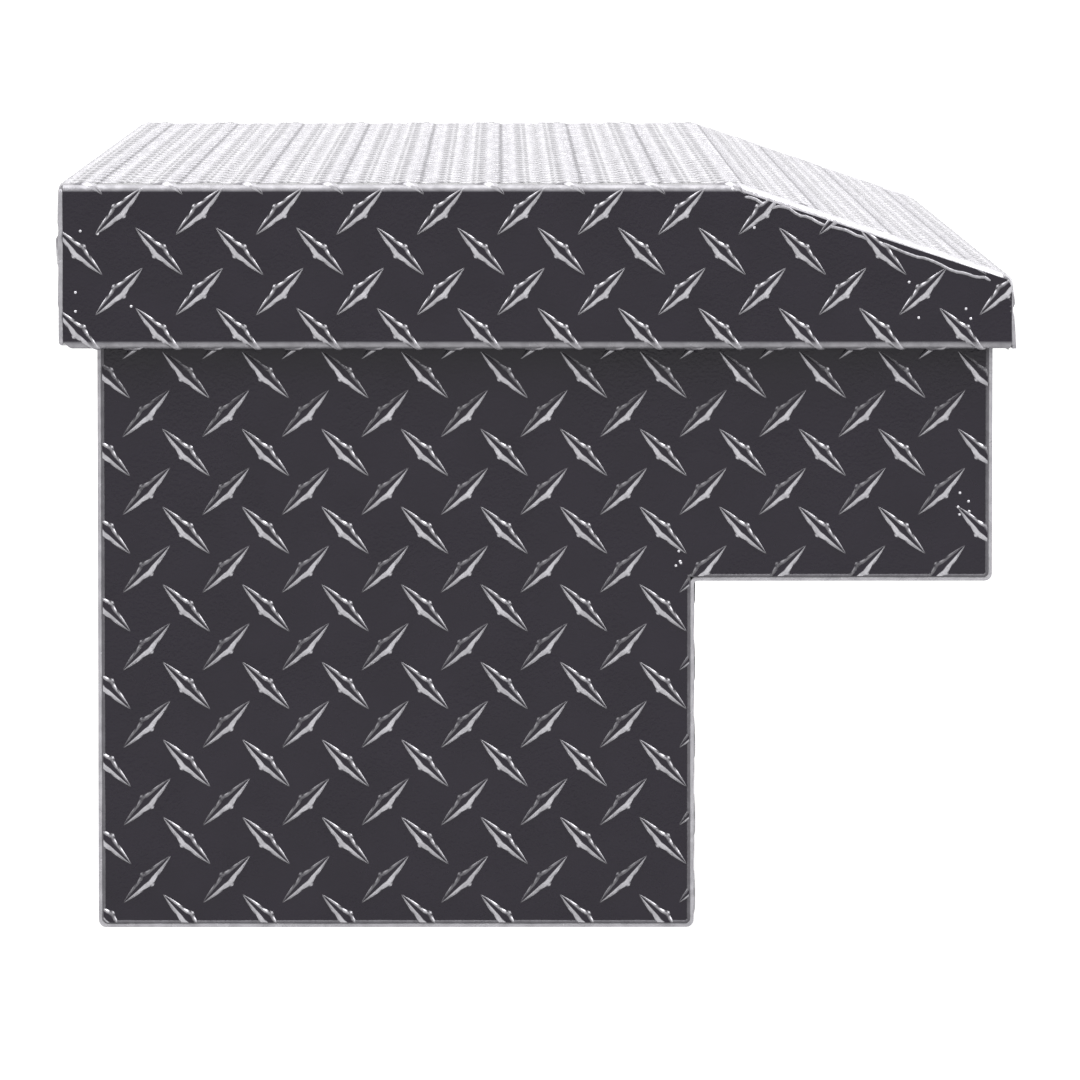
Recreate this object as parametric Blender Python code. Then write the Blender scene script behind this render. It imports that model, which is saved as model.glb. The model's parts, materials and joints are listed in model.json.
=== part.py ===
"""A side-mount truck tool box: a folded tread-plate tub that steps out over the bed rail, with a hinged lid.

Metres, +Z up. X runs across the box towards its outer side, where the ledge and the latch are, and Y along it.
The origin is under the middle of the lid's outline, at the height of the tub's floor.
"""

import math

import bmesh
import bpy
from mathutils import Matrix, Vector

# The sheet that the tub and the lid are folded from
SHEET = 0.0016
FOLD = 0.0024           # radius of a fold at the middle of the sheet
GAP = 0.0003            # between pieces that touch

# Lid: a cap with a flat top and a sloping front
LID_LENGTH = 0.914
LID_BACK = -0.1855
LID_FRONT = 0.1831      # the end skirts' upright front edge
LID_FLARE = 0.0024      # the front skirt leans out by this much at its foot
LID_TOP = 0.2895
LID_BREAK = 0.0781      # where the flat top ends and the slope begins
LID_BROW = 0.2532       # the slope's lower edge
LID_FOOT = 0.2258

# Tub
TUB_LENGTH = 0.894
TUB_BACK = -0.1708
TUB_RISER = 0.0608      # outer face of the lower part
TUB_FRONT = 0.1766
TUB_LEDGE = 0.1351      # underside of the ledge that lies on the bed rail
TUB_RIM = 0.2416
RIM_WIDTH = 0.018

# Lid hinge, a continuous hinge outside the back wall
HINGE_X = -0.1753
HINGE_Z = 0.2293
HINGE_LENGTH = 0.880
KNUCKLES = 21
KNUCKLE_RADIUS = 0.003
PIN_RADIUS = 0.0015
PIN_BORE = 0.0019
LEAF = 0.0012
LID_OPENS = math.radians(80)

# Lid lining and seal
PAN_UNDERSIDE = 0.2527
PAN_FRONT = 0.1725
SEAL_RADIUS = 0.00525
STIFFENERS = 3
STIFFENER_PITCH = 0.228

# Gas struts, one inside each end
STRUT_Y = 0.415
STRUT_FOOT = (-0.142, 0.168)
STRUT_HEAD = (0.020, 0.226)
STUD_RADIUS = 0.004
EYE_RADIUS = 0.008
EYE_WIDTH = 0.0084
TUBE_RADIUS = 0.009
ROD_RADIUS = 0.004

# Latch in the middle of the front wall
LATCH_Z = 0.181
LATCH_OPENING = (0.118, 0.065)
TRAY_RIM = (0.132, 0.080)
TRAY_DEPTH = 0.019
TRAY_WALL = 0.0012
PADDLE_PIVOT = (0.1715, 0.2055)
PADDLE_SIZE = (0.100, 0.0445)
ROTOR_PIVOT = (0.124, 0.212)
ROTOR_RADIUS = 0.022
STRIKER_BAR = (0.140, 0.214)
STRIKER_RADIUS = 0.0035
LEVER_PIVOT = (0.1365, 0.1845)
ARM_SLOT = (0.1832, 0.2095)      # foot and head of the slot that the arm and the lever reach through
HOUSING_HALF = 0.0095

# Colours: base colour, roughness, metallic
COAT = ((0.042, 0.038, 0.045), 0.22, 0.0)
STEEL = ((0.56, 0.57, 0.58), 0.32, 1.0)
ZINC = ((0.50, 0.51, 0.52), 0.40, 1.0)
RUBBER = ((0.020, 0.020, 0.021), 0.75, 0.0)
TUBE_PAINT = ((0.015, 0.015, 0.016), 0.30, 0.0)
BRASS = ((0.62, 0.48, 0.24), 0.35, 1.0)

for old in list(bpy.data.objects):
    bpy.data.objects.remove(old, do_unlink=True)

parts = bpy.data.collections.new("truck_tool_box")
cutters = bpy.data.collections.new("cutters")
bpy.context.scene.collection.children.link(parts)
bpy.context.scene.collection.children.link(cutters)


def finish(name, look):
    """A Principled material of an object's own."""
    colour, roughness, metallic = look
    material = bpy.data.materials.new(name)
    material.use_nodes = True
    shader = material.node_tree.nodes["Principled BSDF"]
    shader.inputs["Base Color"].default_value = (*colour, 1.0)
    shader.inputs["Roughness"].default_value = roughness
    shader.inputs["Metallic"].default_value = metallic
    return material


def add(name, mesh, place=Matrix()):
    item = bpy.data.objects.new(name, mesh)
    item.matrix_world = place
    parts.objects.link(item)
    return item


def box(name, low, high):
    """A block between two corners, its origin in its middle."""
    size = [b - a for a, b in zip(low, high)]
    middle = [(a + b) / 2 for a, b in zip(low, high)]
    mesh = bpy.data.meshes.new(name)
    shape = bmesh.new()
    bmesh.ops.create_cube(shape, size=1.0)
    bmesh.ops.scale(shape, vec=size, verts=shape.verts)
    shape.to_mesh(mesh)
    shape.free()
    return add(name, mesh, Matrix.Translation(middle))


def rod(name, start, end, radius, segments=24, tip=None):
    """A round bar from start to end, or a cone where tip gives a second radius."""
    start, end = Vector(start), Vector(end)
    along = end - start
    mesh = bpy.data.meshes.new(name)
    shape = bmesh.new()
    bmesh.ops.create_cone(
        shape,
        cap_ends=True,
        segments=segments,
        radius1=radius,
        radius2=radius if tip is None else tip,
        depth=along.length,
    )
    shape.to_mesh(mesh)
    shape.free()
    mesh.shade_smooth()
    mesh.set_sharp_from_angle(angle=math.radians(40))
    turn = along.to_track_quat("Z", "Y").to_matrix().to_4x4()
    return add(name, mesh, Matrix.Translation((start + end) / 2) @ turn)


def meshed(curve_object):
    """A curve object made a mesh whose caps are welded to its sides."""
    bpy.context.view_layer.update()
    evaluated = curve_object.evaluated_get(bpy.context.evaluated_depsgraph_get())
    mesh = bpy.data.meshes.new_from_object(evaluated)
    shape = bmesh.new()
    shape.from_mesh(mesh)
    bmesh.ops.remove_doubles(shape, verts=shape.verts, dist=1e-6)
    bmesh.ops.recalc_face_normals(shape, faces=shape.faces)
    shape.to_mesh(mesh)
    shape.free()
    name = curve_object.name
    place = curve_object.matrix_world.copy()
    bpy.data.objects.remove(curve_object, do_unlink=True)
    return add(name, mesh, place)


def outline_plate(name, outline, low, high, plane="XZ"):
    """A flat closed outline, in XZ or in YZ, given its thickness along the third axis from low to high."""
    data = bpy.data.curves.new(name, "CURVE")
    data.dimensions = "2D"
    data.fill_mode = "BOTH"
    data.extrude = (high - low) / 2
    spline = data.splines.new("POLY")
    spline.points.add(len(outline) - 1)
    for point, (across, up) in zip(spline.points, outline):
        point.co = (across, up, 0, 1)
    spline.use_cyclic_u = True
    item = bpy.data.objects.new(name, data)
    upright = Matrix.Rotation(math.radians(90), 4, "X")
    middle = (low + high) / 2
    if plane == "XZ":
        item.matrix_world = Matrix.Translation((0, middle, 0)) @ upright
    else:
        item.matrix_world = Matrix.Translation((middle, 0, 0)) @ Matrix.Rotation(math.radians(90), 4, "Z") @ upright
    parts.objects.link(item)
    return meshed(item)


def arc_corner(before, corner, after, radius, steps=4):
    """The points that round one corner of an outline."""
    before, corner, after = Vector(before), Vector(corner), Vector(after)
    arm_in = (before - corner).normalized()
    arm_out = (after - corner).normalized()
    half = math.acos(max(-1, min(1, arm_in.dot(arm_out)))) / 2
    reach = radius / math.tan(half)
    centre = corner + (arm_in + arm_out).normalized() * radius / math.sin(half)
    first = (corner + arm_in * reach - centre).normalized()
    last = (corner + arm_out * reach - centre).normalized()
    return [tuple(centre + first.slerp(last, step / steps) * radius) for step in range(steps + 1)]


def rounded(points, radius, closed=False):
    """A polyline with its corners turned into arcs."""
    result = []
    count = len(points)
    for index, point in enumerate(points):
        if not closed and index in (0, count - 1):
            result.append(tuple(point))
            continue
        result += arc_corner(points[index - 1], point, points[(index + 1) % count], radius)
    return result


def shifted(points, distance):
    """An open polyline moved to its left by distance, corners mitred."""
    result = []
    for index, point in enumerate(points):
        here = Vector(point)
        ways = []
        if index:
            ways.append((here - Vector(points[index - 1])).normalized())
        if index < len(points) - 1:
            ways.append((Vector(points[index + 1]) - here).normalized())
        sides = [Vector((-way.y, way.x)) for way in ways]
        mitre = sum(sides, Vector((0, 0))).normalized()
        result.append(tuple(here + mitre * distance / mitre.dot(sides[0])))
    return result


def folded_sheet(name, path, thickness, low, high, plane="XZ", fold=FOLD):
    """A sheet folded along path, which is its left face, and running from low to high."""
    middle = rounded(shifted(path, -thickness / 2), fold)
    outline = shifted(middle, thickness / 2) + shifted(middle, -thickness / 2)[::-1]
    return outline_plate(name, outline, low, high, plane)


def tool(item):
    """Marks an object as a cutter or as a shape that another one takes in."""
    parts.objects.unlink(item)
    cutters.objects.link(item)
    item.hide_render = True
    item.display_type = "WIRE"


def combine(item, operation, others):
    for other in others:
        modifier = item.modifiers.new(other.name, "BOOLEAN")
        modifier.operation = operation
        modifier.object = other
        modifier.solver = "EXACT"
        tool(other)
    return item


def join(item, *others):
    return combine(item, "UNION", others)


def cut(item, *others):
    return combine(item, "DIFFERENCE", others)


def paint(item, look):
    item.data.materials.clear()
    item.data.materials.append(finish(item.name, look))
    return item


def pivot(name, x, y, z):
    """An empty on a joint's axis, which its body's pieces hang from."""
    empty = bpy.data.objects.new(name, None)
    empty.location = (x, y, z)
    empty.empty_display_size = 0.02
    parts.objects.link(empty)
    return empty


def hang(empty, *items):
    bpy.context.view_layer.update()
    for item in items:
        place = item.matrix_world.copy()
        item.parent = empty
        item.matrix_parent_inverse = empty.matrix_world.inverted()
        item.matrix_world = place


def tub_wrapper():
    """Back wall, floor, riser, ledge and front wall, folded from one sheet, with a rim turned in at both tops."""
    path = [
        (TUB_FRONT - RIM_WIDTH, TUB_RIM),
        (TUB_FRONT, TUB_RIM),
        (TUB_FRONT, TUB_LEDGE),
        (TUB_RISER, TUB_LEDGE),
        (TUB_RISER, 0),
        (TUB_BACK, 0),
        (TUB_BACK, TUB_RIM),
        (TUB_BACK + RIM_WIDTH, TUB_RIM),
    ]
    wrapper = folded_sheet("tub_wrapper", path, SHEET, -TUB_LENGTH / 2, TUB_LENGTH / 2)
    wide, tall = LATCH_OPENING
    opening = box(
        "latch_opening",
        (TUB_FRONT - 0.01, -wide / 2, LATCH_Z - tall / 2),
        (TUB_FRONT + 0.01, wide / 2, LATCH_Z + tall / 2),
    )
    drain = rod("drain_hole", (TUB_BACK / 2, 0.36, -0.01), (TUB_BACK / 2, 0.36, 0.01), 0.007)
    return paint(cut(wrapper, opening, drain), COAT)


def tub_end(name, side):
    """An end plate inside the wrapper, with the rim's short side turned in along its top."""
    inset = SHEET + GAP
    outer_face = side * TUB_LENGTH / 2
    inner_face = outer_face - side * SHEET
    rim_edge = outer_face - side * RIM_WIDTH
    neck_back, neck_front = TUB_BACK + RIM_WIDTH + GAP, TUB_FRONT - RIM_WIDTH - GAP
    outline = rounded(
        [
            (neck_back, TUB_RIM - inset),
            (TUB_BACK + inset, TUB_RIM - inset),
            (TUB_BACK + inset, inset),
            (TUB_RISER - inset, inset),
            (TUB_RISER - inset, TUB_LEDGE + inset),
            (TUB_FRONT - inset, TUB_LEDGE + inset),
            (TUB_FRONT - inset, TUB_RIM - inset),
            (neck_front, TUB_RIM - inset),
        ],
        FOLD,
    )
    outline += [(neck_front, TUB_RIM - SHEET / 3), (neck_back, TUB_RIM - SHEET / 3)]
    plate = outline_plate(name, outline, min(outer_face, inner_face), max(outer_face, inner_face))
    rim_start = outer_face - side * SHEET / 2
    rim = box(
        name + "_rim",
        (neck_back, min(rim_start, rim_edge), TUB_RIM - SHEET),
        (neck_front, max(rim_start, rim_edge), TUB_RIM),
    )
    return paint(join(plate, rim), COAT)


def weather_seal():
    """A round rubber bulb along the middle of the rim, a closed ring with round corners."""
    inset = RIM_WIDTH / 2
    half = TUB_LENGTH / 2 - inset
    corners = [
        (TUB_BACK + inset, -half),
        (TUB_FRONT - inset, -half),
        (TUB_FRONT - inset, half),
        (TUB_BACK + inset, half),
    ]
    data = bpy.data.curves.new("weather_seal", "CURVE")
    data.dimensions = "3D"
    data.bevel_depth = SEAL_RADIUS
    data.bevel_resolution = 4
    route = rounded(corners, 0.014, True)
    spline = data.splines.new("POLY")
    spline.points.add(len(route) - 1)
    for point, (x, y) in zip(spline.points, route):
        point.co = (x, y, PAN_UNDERSIDE - GAP - SEAL_RADIUS, 1)
    spline.use_cyclic_u = True
    seal = bpy.data.objects.new("weather_seal", data)
    parts.objects.link(seal)
    return paint(meshed(seal), RUBBER)


def drain_plug():
    x, y = TUB_BACK / 2, 0.36
    plug = rod("drain_plug", (x, y, SHEET + GAP), (x, y, SHEET + GAP + 0.003), 0.011, tip=0.009)
    stem = rod("drain_plug_stem", (x, y, GAP), (x, y, SHEET + GAP + 0.001), 0.0064)
    return paint(join(plug, stem), RUBBER)


def hinge_leaf(name, low, high, first):
    """A leaf with every second knuckle of the hinge, starting with the one numbered first."""
    leaf = box(name, low, high)
    pitch = HINGE_LENGTH / KNUCKLES
    knuckles = []
    for index in range(first, KNUCKLES, 2):
        start = -HINGE_LENGTH / 2 + index * pitch + GAP
        end = start + pitch - 2 * GAP
        knuckle = rod(f"{name}_knuckle_{index}", (HINGE_X, start, HINGE_Z), (HINGE_X, end, HINGE_Z), KNUCKLE_RADIUS, 16)
        knuckles.append(knuckle)
    others = []
    for index in range(1 - first, KNUCKLES, 2):
        start = -HINGE_LENGTH / 2 + index * pitch - GAP
        reach = KNUCKLE_RADIUS + 2 * GAP
        others.append(
            box(
                f"{name}_space_{index}",
                (HINGE_X - reach, start, HINGE_Z - reach),
                (HINGE_X + reach, start + pitch + 2 * GAP, HINGE_Z + reach),
            )
        )
    far = HINGE_LENGTH / 2 + 0.01
    bore = rod(name + "_bore", (HINGE_X, -far, HINGE_Z), (HINGE_X, far, HINGE_Z), PIN_BORE, 16)
    cut(leaf, *others)
    join(leaf, *knuckles)
    return paint(cut(leaf, bore), STEEL)


def hinge():
    half = HINGE_LENGTH / 2
    tub_leaf = hinge_leaf(
        "hinge_leaf_tub",
        (TUB_BACK - GAP - 0.0015, -half + GAP, HINGE_Z),
        (TUB_BACK - GAP, half - GAP, TUB_RIM - 0.001),
        0,
    )
    lid_leaf = hinge_leaf(
        "hinge_leaf_lid",
        (LID_BACK + GAP, -half + GAP, HINGE_Z - KNUCKLE_RADIUS),
        (HINGE_X, half - GAP, HINGE_Z - KNUCKLE_RADIUS + LEAF),
        1,
    )
    pin = rod("hinge_pin", (HINGE_X, -half - 0.001, HINGE_Z), (HINGE_X, half + 0.001, HINGE_Z), PIN_RADIUS, 16)
    heads = []
    for side in (-1, 1):
        near, far = side * (half + GAP), side * (half + 0.0018)
        heads.append(rod(f"hinge_pin_head_{side}", (HINGE_X, near, HINGE_Z), (HINGE_X, far, HINGE_Z), 0.0025, 16))
    paint(join(pin, *heads), STEEL)
    return tub_leaf, lid_leaf


def lid_section(inset, foot):
    """The lid's outline across the box, moved in by inset, down to foot."""
    slope = math.atan2(LID_TOP - LID_BROW, LID_FRONT - LID_BREAK)
    brow_drop = inset / math.cos(slope)
    lean = LID_FLARE / (LID_BROW - LID_FOOT)
    brow_x = LID_FRONT - inset
    brow_z = LID_BROW - brow_drop + inset * math.tan(slope)
    return [
        (LID_BACK + inset, foot),
        (LID_BACK + inset, LID_TOP - inset),
        (LID_BREAK - inset * math.tan(slope / 2), LID_TOP - inset),
        (brow_x, brow_z),
        (brow_x + lean * (brow_z - foot), foot),
    ]


def lid_shell():
    """Top, slope, front and back skirts and both end skirts, with a flange turned in for the hinge."""
    half = LID_LENGTH / 2
    outside = outline_plate("lid_shell", lid_section(0, LID_FOOT), -half, half)
    inside = outline_plate("lid_hollow", lid_section(SHEET, LID_FOOT - 0.02), -half + SHEET, half - SHEET)
    flange_foot = HINGE_Z - KNUCKLE_RADIUS + LEAF + GAP
    relief = box(
        "lid_leaf_relief",
        (LID_BACK - 0.01, -HINGE_LENGTH / 2 - 0.001, LID_FOOT - 0.01),
        (LID_BACK + 0.005, HINGE_LENGTH / 2 + 0.001, flange_foot),
    )
    flange = box(
        "lid_hinge_flange",
        (LID_BACK + SHEET / 2, -HINGE_LENGTH / 2, flange_foot),
        (HINGE_X - KNUCKLE_RADIUS - GAP, HINGE_LENGTH / 2, flange_foot + SHEET),
    )
    cut(outside, inside, relief)
    return paint(join(outside, flange), COAT)


def lid_pan():
    """The lid's flat lining, which closes on the seal, with its back edge turned up inside the back skirt."""
    path = [
        (PAN_FRONT, PAN_UNDERSIDE),
        (LID_BACK + SHEET + GAP, PAN_UNDERSIDE),
        (LID_BACK + SHEET + GAP, PAN_UNDERSIDE + 0.014),
    ]
    half = LID_LENGTH / 2 - SHEET - GAP
    return paint(folded_sheet("lid_pan", path, SHEET, -half, half), COAT)


def lid_stiffener(index):
    """A hat channel across the lid, between its top and its lining."""
    middle = (index - (STIFFENERS - 1) / 2) * STIFFENER_PITCH
    foot = PAN_UNDERSIDE + SHEET + GAP
    top = LID_TOP - SHEET - GAP
    path = [
        (middle - 0.036, foot + LEAF),
        (middle - 0.020, foot + LEAF),
        (middle - 0.020, top),
        (middle + 0.020, top),
        (middle + 0.020, foot + LEAF),
        (middle + 0.036, foot + LEAF),
    ]
    channel = folded_sheet(f"lid_stiffener_{index + 1}", path, LEAF, LID_BACK + 0.018, LID_BREAK - 0.010, "YZ")
    return paint(channel, ZINC)


def strut_point(distance, y):
    """A point on a strut's centre line, by its distance from the foot."""
    foot = Vector((STRUT_FOOT[0], y, STRUT_FOOT[1]))
    head = Vector((STRUT_HEAD[0], y, STRUT_HEAD[1]))
    return foot + (head - foot).normalized() * distance


def strut(name, side):
    """A gas strut: foot bracket on the end plate, tube, rod, and the bracket under the lid."""
    y = side * STRUT_Y
    length = (Vector(STRUT_HEAD) - Vector(STRUT_FOOT)).length
    foot_x, foot_z = STRUT_FOOT
    head_x, head_z = STRUT_HEAD
    wall = side * (TUB_LENGTH / 2 - SHEET - GAP)
    eye_out = y + side * EYE_WIDTH / 2
    eye_in = y - side * EYE_WIDTH / 2

    foot = box(
        f"strut_foot_{name}",
        (foot_x - 0.016, min(wall, wall - side * 0.002), foot_z - 0.022),
        (foot_x + 0.016, max(wall, wall - side * 0.002), foot_z + 0.022),
    )
    boss = rod(foot.name + "_boss", (foot_x, wall - side * 0.001, foot_z), (foot_x, eye_out + side * GAP, foot_z), 0.007)
    stud = rod(foot.name + "_stud", (foot_x, wall - side * 0.001, foot_z), (foot_x, eye_in - side * 0.003, foot_z), STUD_RADIUS)
    clip = rod(foot.name + "_clip", (foot_x, eye_in - side * GAP, foot_z), (foot_x, eye_in - side * 0.0018, foot_z), 0.0058)
    paint(join(foot, boss, stud, clip), ZINC)

    tube_start, tube_end = 0.012, length - 0.020
    tube = rod(f"strut_tube_{name}", strut_point(tube_start, y), strut_point(tube_end, y), TUBE_RADIUS)
    eye = rod(tube.name + "_eye", (foot_x, eye_in, foot_z), (foot_x, eye_out, foot_z), EYE_RADIUS)
    neck = rod(tube.name + "_neck", strut_point(0.004, y), strut_point(tube_start + 0.002, y), 0.004)
    eye_bore = rod(tube.name + "_eye_bore", (foot_x, y - 0.02, foot_z), (foot_x, y + 0.02, foot_z), STUD_RADIUS + 0.0004)
    chamber = rod(tube.name + "_chamber", strut_point(tube_start + 0.004, y), strut_point(tube_end - 0.006, y), 0.0074)
    mouth = rod(tube.name + "_mouth", strut_point(tube_end - 0.01, y), strut_point(tube_end + 0.01, y), ROD_RADIUS + 0.0004)
    join(tube, eye, neck)
    paint(cut(tube, eye_bore, chamber, mouth), TUBE_PAINT)

    shaft = rod(f"strut_rod_{name}", strut_point(tube_start + 0.012, y), strut_point(length, y), ROD_RADIUS)
    piston = rod(shaft.name + "_piston", strut_point(tube_start + 0.008, y), strut_point(tube_start + 0.016, y), 0.0069)
    end_eye = rod(shaft.name + "_eye", (head_x, eye_in, head_z), (head_x, eye_out, head_z), EYE_RADIUS)
    bracket_face = y - side * 0.012
    pin = rod(
        shaft.name + "_stud",
        (head_x, eye_out + side * 0.0015, head_z),
        (head_x, bracket_face + side * GAP, head_z),
        STUD_RADIUS + 0.0006,
    )
    collar = rod(
        shaft.name + "_collar",
        (head_x, bracket_face + side * 0.0022, head_z),
        (head_x, bracket_face + side * GAP, head_z),
        0.0068,
    )
    paint(join(shaft, piston, end_eye, pin, collar), STEEL)

    base_top = PAN_UNDERSIDE - GAP
    bracket = box(
        f"strut_bracket_{name}",
        (head_x - 0.020, min(bracket_face, bracket_face - side * 0.002), head_z - 0.013),
        (head_x + 0.020, max(bracket_face, bracket_face - side * 0.002), base_top),
    )
    base = box(
        bracket.name + "_base",
        (head_x - 0.020, min(bracket_face, bracket_face - side * 0.022), base_top - 0.002),
        (head_x + 0.020, max(bracket_face, bracket_face - side * 0.022), base_top),
    )
    rivet = rod(
        bracket.name + "_rivet",
        (head_x, bracket_face - side * 0.001, head_z),
        (head_x, bracket_face - side * 0.0040, head_z),
        0.0055,
        tip=0.0035,
    )
    paint(join(bracket, base, rivet), ZINC)
    return tube, shaft, bracket


def latch_tray():
    """A dished stainless tray set in the front wall, its rim outside the wall."""
    wide, tall = TRAY_RIM
    dish_wide, dish_tall = LATCH_OPENING[0] - 0.002, LATCH_OPENING[1] - 0.002
    face = TUB_FRONT + GAP + 0.001 + GAP
    back = face + TRAY_WALL - TRAY_DEPTH
    tray = box("latch_tray", (face, -wide / 2, LATCH_Z - tall / 2), (face + TRAY_WALL, wide / 2, LATCH_Z + tall / 2))
    dish = box(
        "tray_dish",
        (back, -dish_wide / 2, LATCH_Z - dish_tall / 2),
        (face + TRAY_WALL / 2, dish_wide / 2, LATCH_Z + dish_tall / 2),
    )
    hollow = box(
        "tray_hollow",
        (back + TRAY_WALL, TRAY_WALL - dish_wide / 2, LATCH_Z + TRAY_WALL - dish_tall / 2),
        (face + 0.01, dish_wide / 2 - TRAY_WALL, LATCH_Z - TRAY_WALL + dish_tall / 2),
    )
    pivot_x, pivot_z = PADDLE_PIVOT
    pin_hole = rod("tray_pin_hole", (pivot_x, -0.08, pivot_z), (pivot_x, 0.08, pivot_z), 0.0024)
    arm_slot = box("tray_arm_slot", (back - 0.01, -0.0075, ARM_SLOT[0]), (back + 0.01, 0.0075, ARM_SLOT[1]))
    join(tray, dish)
    return paint(cut(tray, hollow, pin_hole, arm_slot), STEEL)


def latch_gasket():
    wide, tall = TRAY_RIM
    open_wide, open_tall = LATCH_OPENING
    gasket = box(
        "latch_gasket",
        (TUB_FRONT + GAP, -wide / 2, LATCH_Z - tall / 2),
        (TUB_FRONT + GAP + 0.001, wide / 2, LATCH_Z + tall / 2),
    )
    opening = box(
        "gasket_opening",
        (TUB_FRONT - 0.01, -open_wide / 2, LATCH_Z - open_tall / 2),
        (TUB_FRONT + 0.01, open_wide / 2, LATCH_Z + open_tall / 2),
    )
    return paint(cut(gasket, opening), RUBBER)


def latch_paddle():
    """The pull: a plate with two knuckles on the pin, a lip along its foot, and an arm back through the tray."""
    pivot_x, pivot_z = PADDLE_PIVOT
    wide, tall = PADDLE_SIZE
    face = pivot_x + 0.0042
    plate = box("latch_paddle", (face - 0.002, -wide / 2, pivot_z - tall), (face, wide / 2, pivot_z))
    lip = box("paddle_lip", (face - 0.007, -wide / 2, pivot_z - tall), (face, wide / 2, pivot_z - tall + 0.002))
    arm = box("paddle_arm", (pivot_x - 0.0195, -0.005, pivot_z - 0.0025), (pivot_x, 0.005, pivot_z + 0.0015))
    knuckles = []
    for start, end in ((-wide / 2, -0.028), (-0.006, 0.006), (0.028, wide / 2)):
        name = f"paddle_knuckle_{len(knuckles)}"
        knuckles.append(rod(name, (pivot_x, start, pivot_z), (pivot_x, end, pivot_z), 0.0042, 20))
    notches = []
    for side in (-1, 1):
        start, end = side * 0.0065, side * 0.0275
        notches.append(
            box(
                f"paddle_notch_{side}",
                (face - 0.004, min(start, end), pivot_z - 0.0055),
                (face + 0.004, max(start, end), pivot_z + 0.01),
            )
        )
    bore = rod("paddle_bore", (pivot_x, -0.08, pivot_z), (pivot_x, 0.08, pivot_z), 0.0024)
    lock_hole = rod("paddle_lock_hole", (face - 0.01, 0, pivot_z - 0.0265), (face + 0.01, 0, pivot_z - 0.0265), 0.0094)
    cut(plate, *notches)
    join(plate, lip, arm, *knuckles)
    paddle = paint(cut(plate, bore, lock_hole), STEEL)

    half = LATCH_OPENING[0] / 2 - 0.001
    pin = rod("paddle_pin", (pivot_x, -half - 0.0015, pivot_z), (pivot_x, half + 0.0015, pivot_z), 0.002, 16)
    paint(pin, STEEL)

    turns, radius = 5, 0.0036
    data = bpy.data.curves.new("paddle_spring", "CURVE")
    data.dimensions = "3D"
    data.bevel_depth = 0.0006
    data.bevel_resolution = 2
    data.use_fill_caps = True
    spline = data.splines.new("POLY")
    steps = turns * 12
    spline.points.add(steps)
    for index, point in enumerate(spline.points):
        turn = index / 12 * math.tau
        along = 0.009 + 0.015 * index / steps
        point.co = (pivot_x + radius * math.cos(turn), along, pivot_z + radius * math.sin(turn), 1)
    spring = bpy.data.objects.new("paddle_spring", data)
    parts.objects.link(spring)
    paint(meshed(spring), ZINC)
    return paddle


def paddle_lock():
    """The lock in the paddle: a fixed barrel, and the key plug with its cam."""
    pivot_x, pivot_z = PADDLE_PIVOT
    z = pivot_z - 0.0265
    face = pivot_x + 0.0042
    barrel = rod("lock_barrel", (pivot_x - 0.0075, 0, z), (face + 0.0008, 0, z), 0.009, 32)
    flange = rod("lock_flange", (face + GAP, 0, z), (face + 0.0016, 0, z), 0.011, 32)
    bore = rod("lock_bore", (pivot_x - 0.02, 0, z), (face + 0.02, 0, z), 0.0070, 32)
    join(barrel, flange)
    paint(cut(barrel, bore), STEEL)

    plug = rod("lock_plug", (pivot_x - 0.0088, 0, z), (face + 0.0020, 0, z), 0.0065, 32)
    cam = box("lock_cam", (pivot_x - 0.0093, -0.0045, z - 0.0120), (pivot_x - 0.0079, 0.0045, z + 0.005))
    keyway = box("lock_keyway", (face - 0.004, -0.0008, z - 0.0035), (face + 0.01, 0.0008, z + 0.0035))
    join(plug, cam)
    paint(cut(plug, keyway), BRASS)
    return barrel, plug


def latch_housing():
    """A stamped channel behind the tray that carries the rotor and the trip lever."""
    front = TUB_FRONT + 2 * GAP + 0.001 + TRAY_WALL - TRAY_DEPTH - GAP
    web_back = front - 0.0015
    foot, head, back = 0.176, 0.232, 0.099
    outline = [
        (front, foot),
        (front, 0.211),
        (0.151, head),
        (0.108, head),
        (back, 0.222),
        (back, 0.200),
        (0.122, foot),
    ]
    bar_x, bar_z = STRIKER_BAR
    slot = [
        (bar_x - 0.0055, bar_z - 0.0065),
        (bar_x + 0.0045, bar_z - 0.0065),
        (bar_x + 0.0085, head + 0.01),
        (bar_x - 0.0105, head + 0.01),
    ]
    housing = box("latch_housing", (web_back, -HOUSING_HALF, foot), (front, HOUSING_HALF, 0.211))
    window = box("housing_window", (web_back - 0.01, -0.0065, ARM_SLOT[0]), (front + 0.01, 0.0065, 0.22))
    cheeks = []
    for side in (-1, 1):
        inner, outer = side * (HOUSING_HALF - 0.0015), side * HOUSING_HALF
        cheeks.append(outline_plate(f"housing_cheek_{side}", outline, min(inner, outer), max(inner, outer)))
    slot_cut = outline_plate("housing_slot", slot, -0.03, 0.03)
    holes = []
    for name, (x, z) in (("rotor", ROTOR_PIVOT), ("lever", LEVER_PIVOT)):
        holes.append(rod(f"housing_{name}_hole", (x, -0.03, z), (x, 0.03, z), 0.0033))
    cut(housing, window)
    join(housing, *cheeks)
    return paint(cut(housing, slot_cut, *holes), ZINC)


def fan(centre, radius, start, end, steps):
    """Points on an arc about centre, angles in degrees."""
    points = []
    for step in range(steps + 1):
        angle = math.radians(start + (end - start) * step / steps)
        points.append((centre[0] + radius * math.cos(angle), centre[1] + radius * math.sin(angle)))
    return points


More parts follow.
